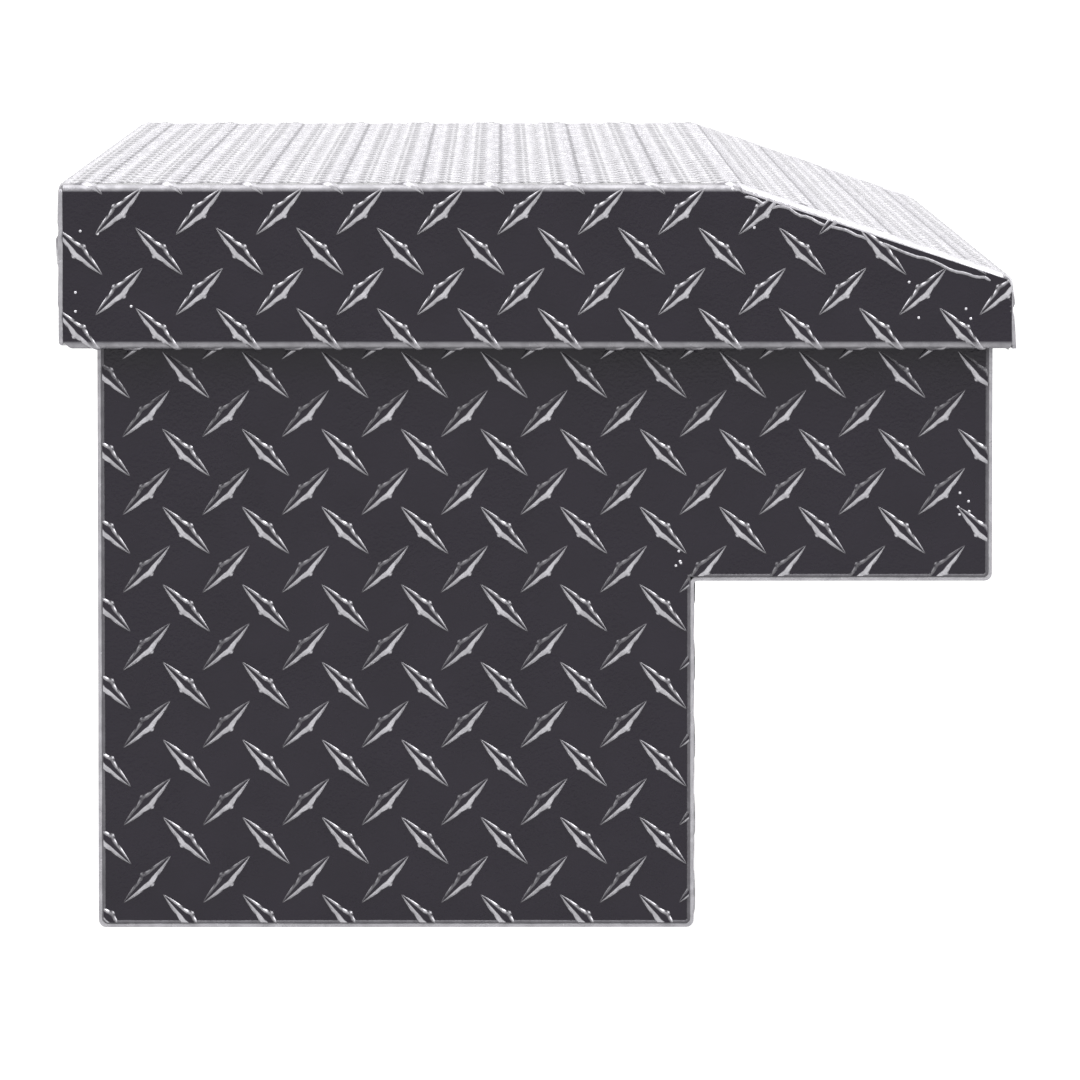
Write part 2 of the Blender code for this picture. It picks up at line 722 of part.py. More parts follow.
def latch_rotor():
    """The claw, standing open: its mouth lies round the striker bar and turns down over it to latch."""
    body = fan(ROTOR_PIVOT, ROTOR_RADIUS, 69, 349, 28) + fan(ROTOR_PIVOT, 0.0112, -11, 69, 8)
    rotor = outline_plate("latch_rotor", body, -0.003, 0.003)
    bore = rod("rotor_bore", (ROTOR_PIVOT[0], -0.02, ROTOR_PIVOT[1]), (ROTOR_PIVOT[0], 0.02, ROTOR_PIVOT[1]), 0.0033)
    return paint(cut(rotor, bore), STEEL)


def trip_lever():
    """The lever that the paddle's arm pushes down, with the nib that holds the latched claw."""
    x, z = LEVER_PIVOT
    outline = fan(LEVER_PIVOT, 0.006, 130, 320, 12) + [
        (x + 0.0205, z + 0.0130),
        (x + 0.0205, z + 0.0178),
        (x + 0.0155, z + 0.0178),
        (x + 0.0120, z + 0.0168),
        (x + 0.0071, z + 0.0163),
        (x + 0.0043, z + 0.0125),
    ]
    lever = outline_plate("trip_lever", outline, -0.003, 0.003)
    bore = rod("lever_bore", (x, -0.02, z), (x, 0.02, z), 0.0033)
    return paint(cut(lever, bore), ZINC)


def housing_pin(name, place):
    """A headed pin across the housing."""
    x, z = place
    reach = HOUSING_HALF + 0.002
    pin = rod(name, (x, -reach, z), (x, reach, z), 0.0028, 20)
    heads = []
    for side in (-1, 1):
        start, end = side * (HOUSING_HALF + GAP), side * (reach + 0.0008)
        heads.append(rod(f"{name}_head_{side}", (x, start, z), (x, end, z), 0.0045, 20))
    return paint(join(pin, *heads), STEEL)


def striker():
    """The bar under the lid that the claw takes hold of, on two legs and a base."""
    x, z = STRIKER_BAR
    top = PAN_UNDERSIDE - GAP
    base = box("striker", (x - 0.014, -0.026, top - 0.002), (x + 0.012, 0.026, top))
    bar = rod("striker_bar", (x, -0.0155, z), (x, 0.0155, z), STRIKER_RADIUS)
    legs = []
    for side in (-1, 1):
        inner, outer = side * 0.012, side * 0.015
        legs.append(
            box(
                f"striker_leg_{side}",
                (x - 0.006, min(inner, outer), z - 0.006),
                (x + 0.006, max(inner, outer), top - 0.001),
            )
        )
    return paint(join(base, *legs, bar), ZINC)


tub_wrapper()
tub_end("tub_end_near", -1)
tub_end("tub_end_far", 1)
weather_seal()
drain_plug()
_, lid_leaf = hinge()
lid_pieces = [lid_leaf, lid_shell(), lid_pan(), striker()]
for number in range(STIFFENERS):
    lid_pieces.append(lid_stiffener(number))

for end_name, end_side in (("near", -1), ("far", 1)):
    strut_tube, strut_rod, strut_bracket = strut(end_name, end_side)
    lid_pieces.append(strut_bracket)
    strut_pivot = pivot(f"strut_pivot_{end_name}", STRUT_FOOT[0], end_side * STRUT_Y, STRUT_FOOT[1])
    hang(strut_pivot, strut_tube, strut_rod)

lid_pivot = pivot("lid_pivot", HINGE_X, 0, HINGE_Z)
hang(lid_pivot, *lid_pieces)

latch_tray()
latch_gasket()
latch_housing()
pull = latch_paddle()
lock_barrel, lock_plug = paddle_lock()
paddle_pivot = pivot("paddle_pivot", PADDLE_PIVOT[0], 0, PADDLE_PIVOT[1])
hang(paddle_pivot, pull, lock_barrel, lock_plug)
rotor_pivot = pivot("rotor_pivot", ROTOR_PIVOT[0], 0, ROTOR_PIVOT[1])
hang(rotor_pivot, latch_rotor())
lever_pivot = pivot("lever_pivot", LEVER_PIVOT[0], 0, LEVER_PIVOT[1])
hang(lever_pivot, trip_lever())
housing_pin("rotor_pin", ROTOR_PIVOT)
housing_pin("lever_pin", LEVER_PIVOT)
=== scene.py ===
"""Looks of the truck tool box: tread plate with real lugs, welds, latch, hinge, seal and struts."""

import json
import math

import bmesh
import bpy
import numpy as np
from mathutils import Matrix, Vector
from mathutils.geometry import delaunay_2d_cdt

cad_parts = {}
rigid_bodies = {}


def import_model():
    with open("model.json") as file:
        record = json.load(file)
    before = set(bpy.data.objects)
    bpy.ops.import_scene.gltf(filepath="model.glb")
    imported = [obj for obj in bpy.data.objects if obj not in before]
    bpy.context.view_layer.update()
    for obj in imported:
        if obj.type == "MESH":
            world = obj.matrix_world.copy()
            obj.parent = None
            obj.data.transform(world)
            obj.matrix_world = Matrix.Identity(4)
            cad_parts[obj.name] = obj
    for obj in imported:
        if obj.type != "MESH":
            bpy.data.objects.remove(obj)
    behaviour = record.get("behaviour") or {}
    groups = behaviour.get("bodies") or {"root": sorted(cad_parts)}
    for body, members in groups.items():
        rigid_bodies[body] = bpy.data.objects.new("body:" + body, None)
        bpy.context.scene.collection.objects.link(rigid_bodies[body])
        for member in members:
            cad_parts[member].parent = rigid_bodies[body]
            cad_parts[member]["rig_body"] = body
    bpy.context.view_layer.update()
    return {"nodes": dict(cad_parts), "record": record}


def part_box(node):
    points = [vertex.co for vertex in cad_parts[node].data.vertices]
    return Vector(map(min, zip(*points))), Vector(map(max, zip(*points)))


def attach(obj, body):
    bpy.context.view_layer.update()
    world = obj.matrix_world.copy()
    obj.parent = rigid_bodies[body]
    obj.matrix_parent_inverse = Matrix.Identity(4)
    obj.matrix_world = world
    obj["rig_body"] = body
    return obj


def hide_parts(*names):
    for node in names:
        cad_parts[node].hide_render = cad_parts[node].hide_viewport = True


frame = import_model()

# Lengths are in metres
SHEET = 0.0016           # thickness of the tread plate
FOLD = 0.0030            # outer radius of a fold
FOLD_STEPS = 5
FOLD_SHEEN = 0.55         # painted highlight at a fold's middle, as a share
WELD_GAP = 0.0003        # between the end plates and the wrapper

# Lid section: its box comes from the frame, and the slope and the flare are added
LID_LOW, LID_HIGH = (Vector(corner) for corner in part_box("lid_shell"))
LID_BACK, LID_TOP, LID_FOOT = LID_LOW.x, LID_HIGH.z, LID_LOW.z
LID_END = LID_HIGH.y
LID_FLARE = 0.0024
LID_FRONT = LID_HIGH.x - LID_FLARE
LID_BREAK = LID_FRONT - 0.1050
LID_BROW = LID_TOP - 0.0363
HEM = 0.0062             # the end skirts' foot is turned in by this much

# Tub section
TUB_LOW, TUB_HIGH = (Vector(corner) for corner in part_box("tub_wrapper"))
TUB_BACK, TUB_FRONT, TUB_FLOOR, TUB_RIM = TUB_LOW.x, TUB_HIGH.x, TUB_LOW.z, TUB_HIGH.z
TUB_END = TUB_HIGH.y
TUB_LEDGE = 0.1351       # underside of the ledge, which lies on the truck's rail
TUB_RISER = 0.0608       # outer face of the wall between the ledge and the floor
RIM_WIDTH = 0.018        # the rim is turned in by this much

# Tread lugs
LUG_LENGTH = 0.0266
LUG_HALF_WIDTH = 0.00245
LUG_KNUCKLE = 0.0012      # added to the half width in the middle
KNUCKLE_REACH = 0.11      # share of the lug's half length
LUG_HEIGHT = 0.00095
TIP_NARROWING = 1.8       # the width falls off with this power of the distance from the middle
TIP_LOWERING = 5          # and the height with this one
LATTICES = ((1, 0.0), (-1, 0.5))      # each lattice of lugs: which way they lean, and its shift in pitches
BARE_MARGIN = 0.0098      # a lug's middle keeps this far from a bare rectangle
GROUND_FROM = 0.982       # share of a lug's half width past which a face is flat ground
LOWEST_RISE = 3e-6        # a lug lower than this counts as flat

# A lug's contours: stations from tip to tip, and each ring's width as a share of the foot's
FINE = (
    (-1, -0.9, -0.72, -0.5, -0.3, -0.17, -0.08, 0, 0.08, 0.17, 0.3, 0.5, 0.72, 0.9),
    (1.0, 0.92, 0.70, 0.46, 0.34, 0.20),
)
PLAIN = ((-1, -0.75, -0.35, -0.12, 0, 0.12, 0.35, 0.75), (1.0, 0.88, 0.40))

# Across half a lug: the flat crown, its rounded edge, the straight flank and the fillet end at these shares
FLANK = (0.34, 0.46, 0.92, 1.0)
ACROSS = np.linspace(0, 1.2, 241)
STEEPNESS = np.interp(ACROSS, FLANK, (0, 1, 1, 0), left=0, right=0)
PROFILE = 1 - np.cumsum(STEEPNESS) / STEEPNESS.sum()

# Painted highlight across a lug, as a share, from the wide band's foot at -1 to the thin line's at 1
LUG_SHEEN = ((-1.0, -0.92, -0.34, -0.20, 0.46, 0.70, 0.92, 1.0), (0, 0.85, 0.85, 0, 0, 0.25, 1.0, 0))


def lug_width(along):
    """Half the width of a lug at its foot, from -1 at one tip to 1 at the other, swelling in the middle."""
    far = np.clip(np.abs(along), 0, 1)
    return LUG_HALF_WIDTH * (1 - far**TIP_NARROWING) + LUG_KNUCKLE * np.exp(-((along / KNUCKLE_REACH) ** 2))


class Tread:
    """Lugs on a flat blank: one leaning one way at each site, and one the other way between the sites.
    Each bare rectangle is (low u, low v, high u, high v). thin_line scales each lattice's thin line of
    painted highlight, and bright_side picks the flank that takes the wide band."""

    def __init__(
        self, pitch_u, pitch_v, site_u, site_v, bare=(), detail=FINE, thin_line=(1, 1), bright_side=1
    ):
        self.pitch = np.array((pitch_u, pitch_v))
        self.site = np.array((site_u, site_v))
        self.bare = bare
        self.detail = detail
        self.thin_line = thin_line
        self.bright_side = bright_side

    def keeps(self, centres):
        """Which lugs stand clear of the bare rectangles."""
        kept = np.ones(len(centres), bool)
        for low_u, low_v, high_u, high_v in self.bare:
            beside_u = (centres[:, 0] > low_u - BARE_MARGIN) & (centres[:, 0] < high_u + BARE_MARGIN)
            beside_v = (centres[:, 1] > low_v - BARE_MARGIN) & (centres[:, 1] < high_v + BARE_MARGIN)
            kept &= ~(beside_u & beside_v)
        return kept

    def near_lugs(self, points):
        """For each lean, how a point lies along and across its nearest lug, and whether that lug is there.
        Along runs from -1 to 1 between the tips, and across is 1 at the foot on the side of low v."""
        for lean, shift in LATTICES:
            site = self.site + shift * self.pitch
            centres = site + np.round((points - site) / self.pitch) * self.pitch
            away = points - centres
            along = (away[:, 0] + lean * away[:, 1]) / math.sqrt(2) / (LUG_LENGTH / 2)
            across = (lean * away[:, 0] - away[:, 1]) / math.sqrt(2) / np.maximum(lug_width(along), 1e-6)
            yield along, across, (np.abs(along) < 1) & self.keeps(centres)

    def height(self, points):
        """How high the lugs stand at each point."""
        total = np.zeros(len(points))
        for along, across, there in self.near_lugs(points):
            tips = 1 - np.clip(np.abs(along), 0, 1) ** TIP_LOWERING
            lug = LUG_HEIGHT * np.interp(np.abs(across), ACROSS, PROFILE) * tips
            total = np.maximum(total, np.where(there, lug, 0))
        return total

    def painted_sheen(self, points):
        """Painted highlight on the lugs: a thin line on one flank and a wide band on the other."""
        total = np.zeros(len(points))
        for line, (along, across, there) in zip(self.thin_line, self.near_lugs(points)):
            across = across * self.bright_side
            share = np.interp(across, *LUG_SHEEN) * np.where(across > 0, line, 1)
            total = np.maximum(total, np.where(there, share, 0))
        return total

    def ground(self, points, faces):
        """Which points touch the flat ground between the lugs: there the sheet is flat and has no painted
        highlight.
        """
        middles = points[faces].mean(1)
        flat = np.ones(len(faces), bool)
        for _, across, there in self.near_lugs(middles):
            flat &= ~(there & (np.abs(across) < GROUND_FROM))
        touched = np.zeros(len(points), bool)
        touched[faces[flat]] = True
        return touched

    def slope(self, points, step=2e-5):
        """How steeply the lugs rise at each point, along u and along v."""
        rise = np.zeros((len(points), 2))
        for axis in (0, 1):
            shift = np.zeros(2)
            shift[axis] = step
            rise[:, axis] = (self.height(points + shift) - self.height(points - shift)) / (2 * step)
        rise[self.height(points) < LOWEST_RISE] = 0
        return rise

    def rings(self, low, high):
        """The contour loops of the lugs that reach into a rectangle of the blank."""
        stations, scales = np.array(self.detail[0]), self.detail[1]
        low, high, reach = np.array(low), np.array(high), LUG_LENGTH / 2
        loops = []
        for lean, shift in LATTICES:
            site = self.site + shift * self.pitch
            first = np.floor((low - reach - site) / self.pitch).astype(int)
            last = np.ceil((high + reach - site) / self.pitch).astype(int)
            for column in range(first[0], last[0] + 1):
                for row in range(first[1], last[1] + 1):
                    centre = site + np.array((column, row)) * self.pitch
                    outside = (centre < low - reach) | (centre > high + reach)
                    if outside.any() or not self.keeps(centre[None])[0]:
                        continue
                    loops += [self.ring(centre, lean, stations, scale) for scale in scales]
        return loops

    @staticmethod
    def ring(centre, lean, stations, scale):
        """One contour of a lug, out along one side and back along the other, shorter further in."""
        width = lug_width(stations) * scale
        shorter = 0.88 + 0.12 * scale
        along = np.concatenate((stations, -stations)) * shorter * LUG_LENGTH / 2
        across = np.concatenate((width, -width))
        across[0] = across[len(stations)] = 0
        u = centre[0] + (along + lean * across) / math.sqrt(2)
        v = centre[1] + (lean * along - across) / math.sqrt(2)
        return np.stack((u, v), 1)


class Folded:
    """Maps a flat blank onto a sheet folded along a path in XZ, its outer face on the path's left.
    u is along the path, and v is Y."""

    def __init__(self, path, radius=FOLD):
        self.points, self.normals, self.lengths = [], [], []
        path = [Vector(point) for point in path]
        place, length = path[0], 0.0
        self.add(place, self.left(path[1] - path[0]), length)
        for before, corner, after in zip(path, path[1:], path[2:]):
            way_in, way_out = (corner - before).normalized(), (after - corner).normalized()
            turn = math.atan2(way_in.x * way_out.y - way_in.y * way_out.x, way_in.dot(way_out))
            bend = radius if turn < 0 else radius - SHEET
            start = corner - way_in * bend * math.tan(abs(turn) / 2)
            length += (start - place).length
            side = self.left(way_in) * (1 if turn > 0 else -1)
            centre = start + side * bend
            for step in range(FOLD_STEPS + 1):
                angle = turn * step / FOLD_STEPS
                turned = Matrix.Rotation(angle, 2)
                place = centre + turned @ (-side * bend)
                self.add(place, turned @ self.left(way_in), length + bend * abs(angle))
            length += bend * abs(turn)
        length += (path[-1] - place).length
        self.add(path[-1], self.left(path[-1] - path[-2]), length)
        self.points, self.normals = np.array(self.points), np.array(self.normals)
        self.lengths, self.total = np.array(self.lengths), length

    @staticmethod
    def left(way):
        """The direction a quarter turn to the left of a way."""
        return Vector((-way.y, way.x)).normalized()

    def add(self, place, normal, length):
        self.points.append(tuple(place))
        self.normals.append(tuple(normal))
        self.lengths.append(length)

    def lines(self, low, high):
        """The fold lines, right across the blank."""
        return [((length, low[1] - 0.01), (length, high[1] + 0.01)) for length in self.lengths[1:-1]]

    def to_space(self, flat, depth):
        """Places above the blank's points, and there the face's direction and the blank's two directions."""
        across = np.stack([np.interp(flat[:, 0], self.lengths, self.points[:, axis]) for axis in (0, 1)], 1)
        out = np.stack([np.interp(flat[:, 0], self.lengths, self.normals[:, axis]) for axis in (0, 1)], 1)
        out /= np.linalg.norm(out, axis=1)[:, None]
        across = across + out * depth[:, None]
        none = np.zeros(len(out))
        place = np.stack((across[:, 0], flat[:, 1], across[:, 1]), 1)
        up = np.stack((out[:, 0], none, out[:, 1]), 1)
        along_u = np.stack((out[:, 1], none, -out[:, 0]), 1)
        along_v = np.stack((none, none + 1, none), 1)
        return place, up, along_u, along_v

    def bent(self, flat):
        """How far each point of the blank is into a fold, from 0 at its edges to 1 at its middle."""
        lengths = self.lengths[1:-1].reshape(-1, FOLD_STEPS + 1)
        middle, half = (lengths[:, 0] + lengths[:, -1]) / 2, (lengths[:, -1] - lengths[:, 0]) / 2
        return np.clip(1 - (np.abs(flat[:, :1] - middle) / half) ** 2, 0, 1).max(1)

    def at(self, x, z):
        """The length along the path nearest to a point of the section."""
        here = np.array((x, z))
        starts, spans = self.points[:-1], np.diff(self.points, axis=0)
        share = np.clip(((here - starts) * spans).sum(1) / np.maximum((spans**2).sum(1), 1e-12), 0, 1)
        nearest = np.argmin(np.linalg.norm(starts + spans * share[:, None] - here, axis=1))
        return self.lengths[nearest] + share[nearest] * (self.lengths[nearest + 1] - self.lengths[nearest])


class FoldedEnd:
    """Maps a blank onto a sheet at one end of the box.
    u is X, and v runs down a path of (distance out, Z)."""

    def __init__(self, path, side, radius=FOLD):
        self.side = side
        self.fold = Folded(path, radius)
        self.total = self.fold.total

    def lines(self, low, high):
        return [((low[0] - 0.01, length), (high[0] + 0.01, length)) for length in self.fold.lengths[1:-1]]

    def bent(self, flat):
        return self.fold.bent(flat[:, ::-1])

    def to_space(self, flat, depth):
        place, up, along_v, along_u = self.fold.to_space(flat[:, ::-1], depth)
        sides = np.array((1, self.side, 1))
        return [vectors[:, [1, 0, 2]] * sides for vectors in (place, up, along_u, along_v)]


def inside(points, loops):
    """Whether each point lies inside an odd number of the closed loops."""
    odd = np.zeros(len(points), bool)
    for loop in loops:
        for (ax, ay), (bx, by) in zip(loop, np.roll(loop, -1, axis=0)):
            if ay != by:
                crosses = (ay > points[:, 1]) != (by > points[:, 1])
                odd ^= crosses & (points[:, 0] < (bx - ax) * (points[:, 1] - ay) / (by - ay) + ax)
    return odd


def triangulate(vertices, edges, outlines, tolerance):
    """Triangles of the region inside the outlines, all turning the same way."""
    vertices = [Vector(point) for point in vertices]
    points, _, faces, origins, _, _ = delaunay_2d_cdt(vertices, edges, [], 0, tolerance)
    points = np.array([tuple(point) for point in points])
    faces = np.array([face for face in faces if len(face) == 3])
    faces = faces[inside(points[faces].mean(1), outlines)]
    a, b, c = (points[faces[:, corner]] for corner in range(3))
    area = (b[:, 0] - a[:, 0]) * (c[:, 1] - a[:, 1]) - (b[:, 1] - a[:, 1]) * (c[:, 0] - a[:, 0])
    faces[area < 0] = faces[area < 0][:, ::-1]
    faces = faces[np.abs(area) > 1e-14]
    return points, faces, origins


def loop_edges(loops):
    """All the loops' points in one list, and the edges round each loop."""
    vertices, edges = [], []
    for loop in loops:
        first = len(vertices)
        vertices += list(loop)
        edges += [(first + index, first + (index + 1) % len(loop)) for index in range(len(loop))]
    return vertices, edges


def rim_edges(faces):
    """Edges that only one face has, in that face's direction."""
    edges = np.concatenate((faces[:, [0, 1]], faces[:, [1, 2]], faces[:, [2, 0]]))
    _, index, count = np.unique(np.sort(edges, axis=1), axis=0, return_index=True, return_counts=True)
    return edges[index[count == 1]]


def outer_face(shape, loops, tread):
    """The outer face's triangles on the blank: the lugs' contours, the outlines and the fold lines."""
    low, high = loops[0].min(0), loops[0].max(0)
    vertices, edges = loop_edges(tread.rings(low, high) + loops)
    for line in shape.lines(low, high):
        edges.append((len(vertices), len(vertices) + 1))
        vertices += list(line)
    flat, faces, _ = triangulate(vertices, edges, loops, 1e-7)
    used = np.unique(faces)
    renumber = np.zeros(len(flat), int)
    renumber[used] = np.arange(len(used))
    return flat[used], renumber[faces]


def inner_face(shape, loops, flat, rim):
    """The plain inner face's triangles between the outer face's rim points, folded along the same lines."""
    ids = np.unique(rim)
    place_of = {int(number): index for index, number in enumerate(ids)}
    points = flat[ids]
    edges = [(place_of[int(a)], place_of[int(b)]) for a, b in rim]
    for start, _ in shape.lines(loops[0].min(0), loops[0].max(0)):
        axis = 0 if start[0] > loops[0][:, 0].min() - 0.005 else 1
        on_line = [index for index in range(len(points)) if abs(points[index][axis] - start[axis]) < 2e-7]
        on_line.sort(key=lambda index: points[index][1 - axis])
        for a, b in zip(on_line, on_line[1:]):
            if inside((points[a] + points[b])[None] / 2, loops)[0]:
                edges.append((a, b))
    inner, faces, origins = triangulate(points, edges, loops, 1e-9)
    back_of = np.zeros(len(points), int)
    for number, sources in enumerate(origins):
        for source in sources:
            if source < len(points):
                back_of[source] = number
    return inner, faces, {number: back_of[index] for number, index in place_of.items()}


def add_object(name, data):
    """A new object in the scene."""
    piece = bpy.data.objects.new(name, data)
    bpy.context.scene.collection.objects.link(piece)
    return piece


def set_shares(mesh, name, domain, values):
    """A number from 0 to 1 at each vertex or face, which the coat's material reads by its name."""
    shares = np.array(values, np.float32)
    mesh.attributes.new(name, "FLOAT", domain).data.foreach_set("value", shares)


def sheet_mesh(name, points, normals, rings, walls):
    """A smooth mesh with a normal given at each point, but with its last faces, the walls, flat."""
    mesh = bpy.data.meshes.new(name)
    mesh.from_pydata(points.tolist(), [], rings)
    mesh.update()
    corners = np.zeros(len(mesh.loops), int)
    mesh.loops.foreach_get("vertex_index", corners)
    corner_normals = normals[corners]
    for face in mesh.polygons[len(rings) - walls:]:
        corner_normals[face.loop_start:face.loop_start + face.loop_total] = face.normal
    mesh.shade_smooth()
    mesh.normals_split_custom_set(corner_normals.tolist())
    return mesh


def sheet_piece(name, shape, outlines, tread, material, flip=False):
    """A closed sheet: lugs on its outer face, a plain inner face, and cut edges between them."""
    loops = [np.array(outline, float) for outline in outlines]
    flat, faces = outer_face(shape, loops, tread)
    rim = rim_edges(faces)
    inner_flat, inner_faces, back_of = inner_face(shape, loops, flat, rim)
    # flank holds each point's share of painted highlight, which the coat reads
    height, rise, flank = tread.height(flat), tread.slope(flat), tread.painted_sheen(flat)
    ground = tread.ground(flat, faces)
    for values in (height, rise, flank):
        values[ground] = 0
    # a painted highlight along each fold's middle
    flank = np.maximum(flank, FOLD_SHEEN * shape.bent(flat))
    outer, up, along_u, along_v = shape.to_space(flat, height)
    normals = up - along_u * rise[:, :1] - along_v * rise[:, 1:]
    normals /= np.linalg.norm(normals, axis=1)[:, None]
    inner, inner_up, _, _ = shape.to_space(inner_flat, np.full(len(inner_flat), -SHEET))

    count = len(outer)
    walls = [(b, a, count + back_of[int(a)], count + back_of[int(b)]) for a, b in rim.tolist()]
    rings = faces.tolist() + (inner_faces[:, ::-1] + count).tolist() + walls
    if flip:
        rings = [ring[::-1] for ring in rings]
    points = np.concatenate((outer, inner))
    mesh = sheet_mesh(name, points, np.concatenate((normals, -inner_up)), rings, len(walls))
    set_shares(mesh, "flank", "POINT", np.concatenate((flank, np.zeros(len(inner)))))
    is_cut = np.zeros(len(rings))
    is_cut[-len(walls):] = 1
    set_shares(mesh, "cut", "FACE", is_cut)
    mesh.materials.append(material)
    return add_object(name, mesh)


def mesh_piece(name, vertices, faces, material, angle=35):
    """A mesh object, smooth apart from edges sharper than an angle in degrees."""
    mesh = bpy.data.meshes.new(name)
    mesh.from_pydata([tuple(vertex) for vertex in vertices], [], faces)
    mesh.update()
    mesh.shade_smooth()
    mesh.set_sharp_from_angle(angle=math.radians(angle))
    mesh.materials.append(material)
    return add_object(name, mesh)


def stations_along(path, step):
    """Places every step or so along a path, and the smoothed direction at each."""
    path = [Vector(point) for point in path]
    places, ways = [], []
    for start, end in zip(path, path[1:]):
        steps = max(2, int((end - start).length / step))
        for index in range(steps):
            places.append(start.lerp(end, index / steps))
            ways.append((end - start).normalized())
    places.append(path[-1])
    ways.append(ways[-1])
    smoothed = []
    for index in range(len(ways)):
        near = ways[max(0, index - 2):index + 3]
        smoothed.append(sum(near, Vector()).normalized())
    return places, smoothed


def wall_faces(first, rings, sides):
    """The faces between rings of vertices, which follow each other from the vertex first."""
    faces = []
    for ring in range(rings - 1):
        for corner in range(sides):
            after = (corner + 1) % sides
            low, high = first + ring * sides, first + (ring + 1) * sides
            faces.append((low + corner, low + after, high + after, high + corner))
    return faces


ASKEW = Vector((0.31, 0.24, 0.92))      # no weld runs this way
BEAD_END = 0.55                         # share of its radius at which a bead ends


def weld_bead(name, path, radius, material, seed, sheen_strength, rough, step=0.0009, ripple=0.0021, sides=10):
    """A weld: a round bead along a path. Its radius rises and falls with each ripple, as far as rough says,
    and sheen_strength sets the share of painted highlight on it."""
    draw = np.random.default_rng(seed)
    places, ways = stations_along(path, step)
    wander = np.convolve(draw.normal(0, 1, len(places) + 40), np.ones(21) / 21, "same")[20:-20]
    vertices, painted_sheen = [], []
    for index, (place, way) in enumerate(zip(places, ways)):
        side = way.cross(ASKEW).normalized()
        other = way.cross(side)
        crest = abs(math.sin(math.pi * (index * step / ripple + 0.8 * wander[index])))
        size = radius * (1 + rough * (0.10 * crest - 0.05 + 0.16 * wander[index]))
        if index in (0, len(places) - 1):
            size *= BEAD_END
        for corner in range(sides):
            turn = math.tau * corner / sides
            vertices.append(place + (side * math.cos(turn) + other * math.sin(turn)) * size)
            painted_sheen.append(sheen_strength * (0.85 + 0.15 * crest))
    faces = wall_faces(0, len(places), sides)
    faces.append(tuple(range(sides))[::-1])
    faces.append(tuple((len(places) - 1) * sides + corner for corner in range(sides)))
    bead = mesh_piece(name, vertices, faces, material, 60)
    set_shares(bead.data, "flank", "POINT", painted_sheen)
    return bead


# Materials ---------------------------------------------------------------------------------------


class Shader:
    """A material being built: the Principled shader, and short ways to add and join nodes."""

    def __init__(self, name, colour, roughness, metallic=0.0):
        self.material = bpy.data.materials.new(name)
        self.material.use_nodes = True
        self.nodes = self.material.node_tree.nodes
        self.links = self.material.node_tree.links
        self.main = self.nodes["Principled BSDF"]
        self.set("Base Color", (*colour, 1))
        self.set("Roughness", roughness)
        self.set("Metallic", metallic)
        self.place = self.nodes.new("ShaderNodeTexCoord").outputs["Object"]
        self.normal = None

    def set(self, name, value):
        self.main.inputs[name].default_value = value

    def to(self, name, output):
        self.links.new(output, self.main.inputs[name])

    def noise(self, scale, detail=2.0, stretch=None, roughness=0.5):
        node = self.nodes.new("ShaderNodeTexNoise")
        node.inputs["Scale"].default_value = scale
        node.inputs["Detail"].default_value = detail
        node.inputs["Roughness"].default_value = roughness
        place = self.place
        if stretch:
            mapping = self.nodes.new("ShaderNodeMapping")
            mapping.inputs["Scale"].default_value = stretch
            self.links.new(place, mapping.inputs["Vector"])
            place = mapping.outputs["Vector"]
        self.links.new(place, node.inputs["Vector"])
        return node.outputs["Fac"]

    def cells(self, scale):
        node = self.nodes.new("ShaderNodeTexVoronoi")
        node.inputs["Scale"].default_value = scale
        self.links.new(self.place, node.inputs["Vector"])
        return node.outputs["Distance"]

    def ramp(self, value, low, high, start=0.0, end=1.0):
        """value from start to end, turned into low to high."""
        node = self.nodes.new("ShaderNodeMapRange")
        node.inputs["From Min"].default_value = start
        node.inputs["From Max"].default_value = end
        node.inputs["To Min"].default_value = low
        node.inputs["To Max"].default_value = high
        self.links.new(value, node.inputs["Value"])
        return node.outputs["Result"]

    def math(self, operation, first, second):
        node = self.nodes.new("ShaderNodeMath")
        node.operation = operation
        for socket, value in zip(node.inputs, (first, second)):
            if isinstance(value, (int, float)):
                socket.default_value = value
            else:
                self.links.new(value, socket)
        return node.outputs["Value"]

    def mix(self, factor, first, second):
        """Two colours mixed: each is a colour or another node's output."""
        node = self.nodes.new("ShaderNodeMix")
        node.data_type = "RGBA"
        self.links.new(factor, node.inputs["Factor"])
        for name, value in (("A", first), ("B", second)):
            socket = [s for s in node.inputs if s.name == name and s.type == "RGBA"][0]
            if isinstance(value, tuple):
                socket.default_value = (*value, 1)
            else:
                self.links.new(value, socket)
        return [s for s in node.outputs if s.type == "RGBA"][0]

    def attribute(self, name):
        node = self.nodes.new("ShaderNodeAttribute")
        node.attribute_name = name
        return node.outputs["Fac"]

    def bump(self, height, strength, distance):
        node = self.nodes.new("ShaderNodeBump")
        node.inputs["Strength"].default_value = strength
        node.inputs["Distance"].default_value = distance
        self.links.new(height, node.inputs["Height"])
        if self.normal:
            self.links.new(self.normal, node.inputs["Normal"])
        self.normal = node.outputs["Normal"]
        self.to("Normal", self.normal)


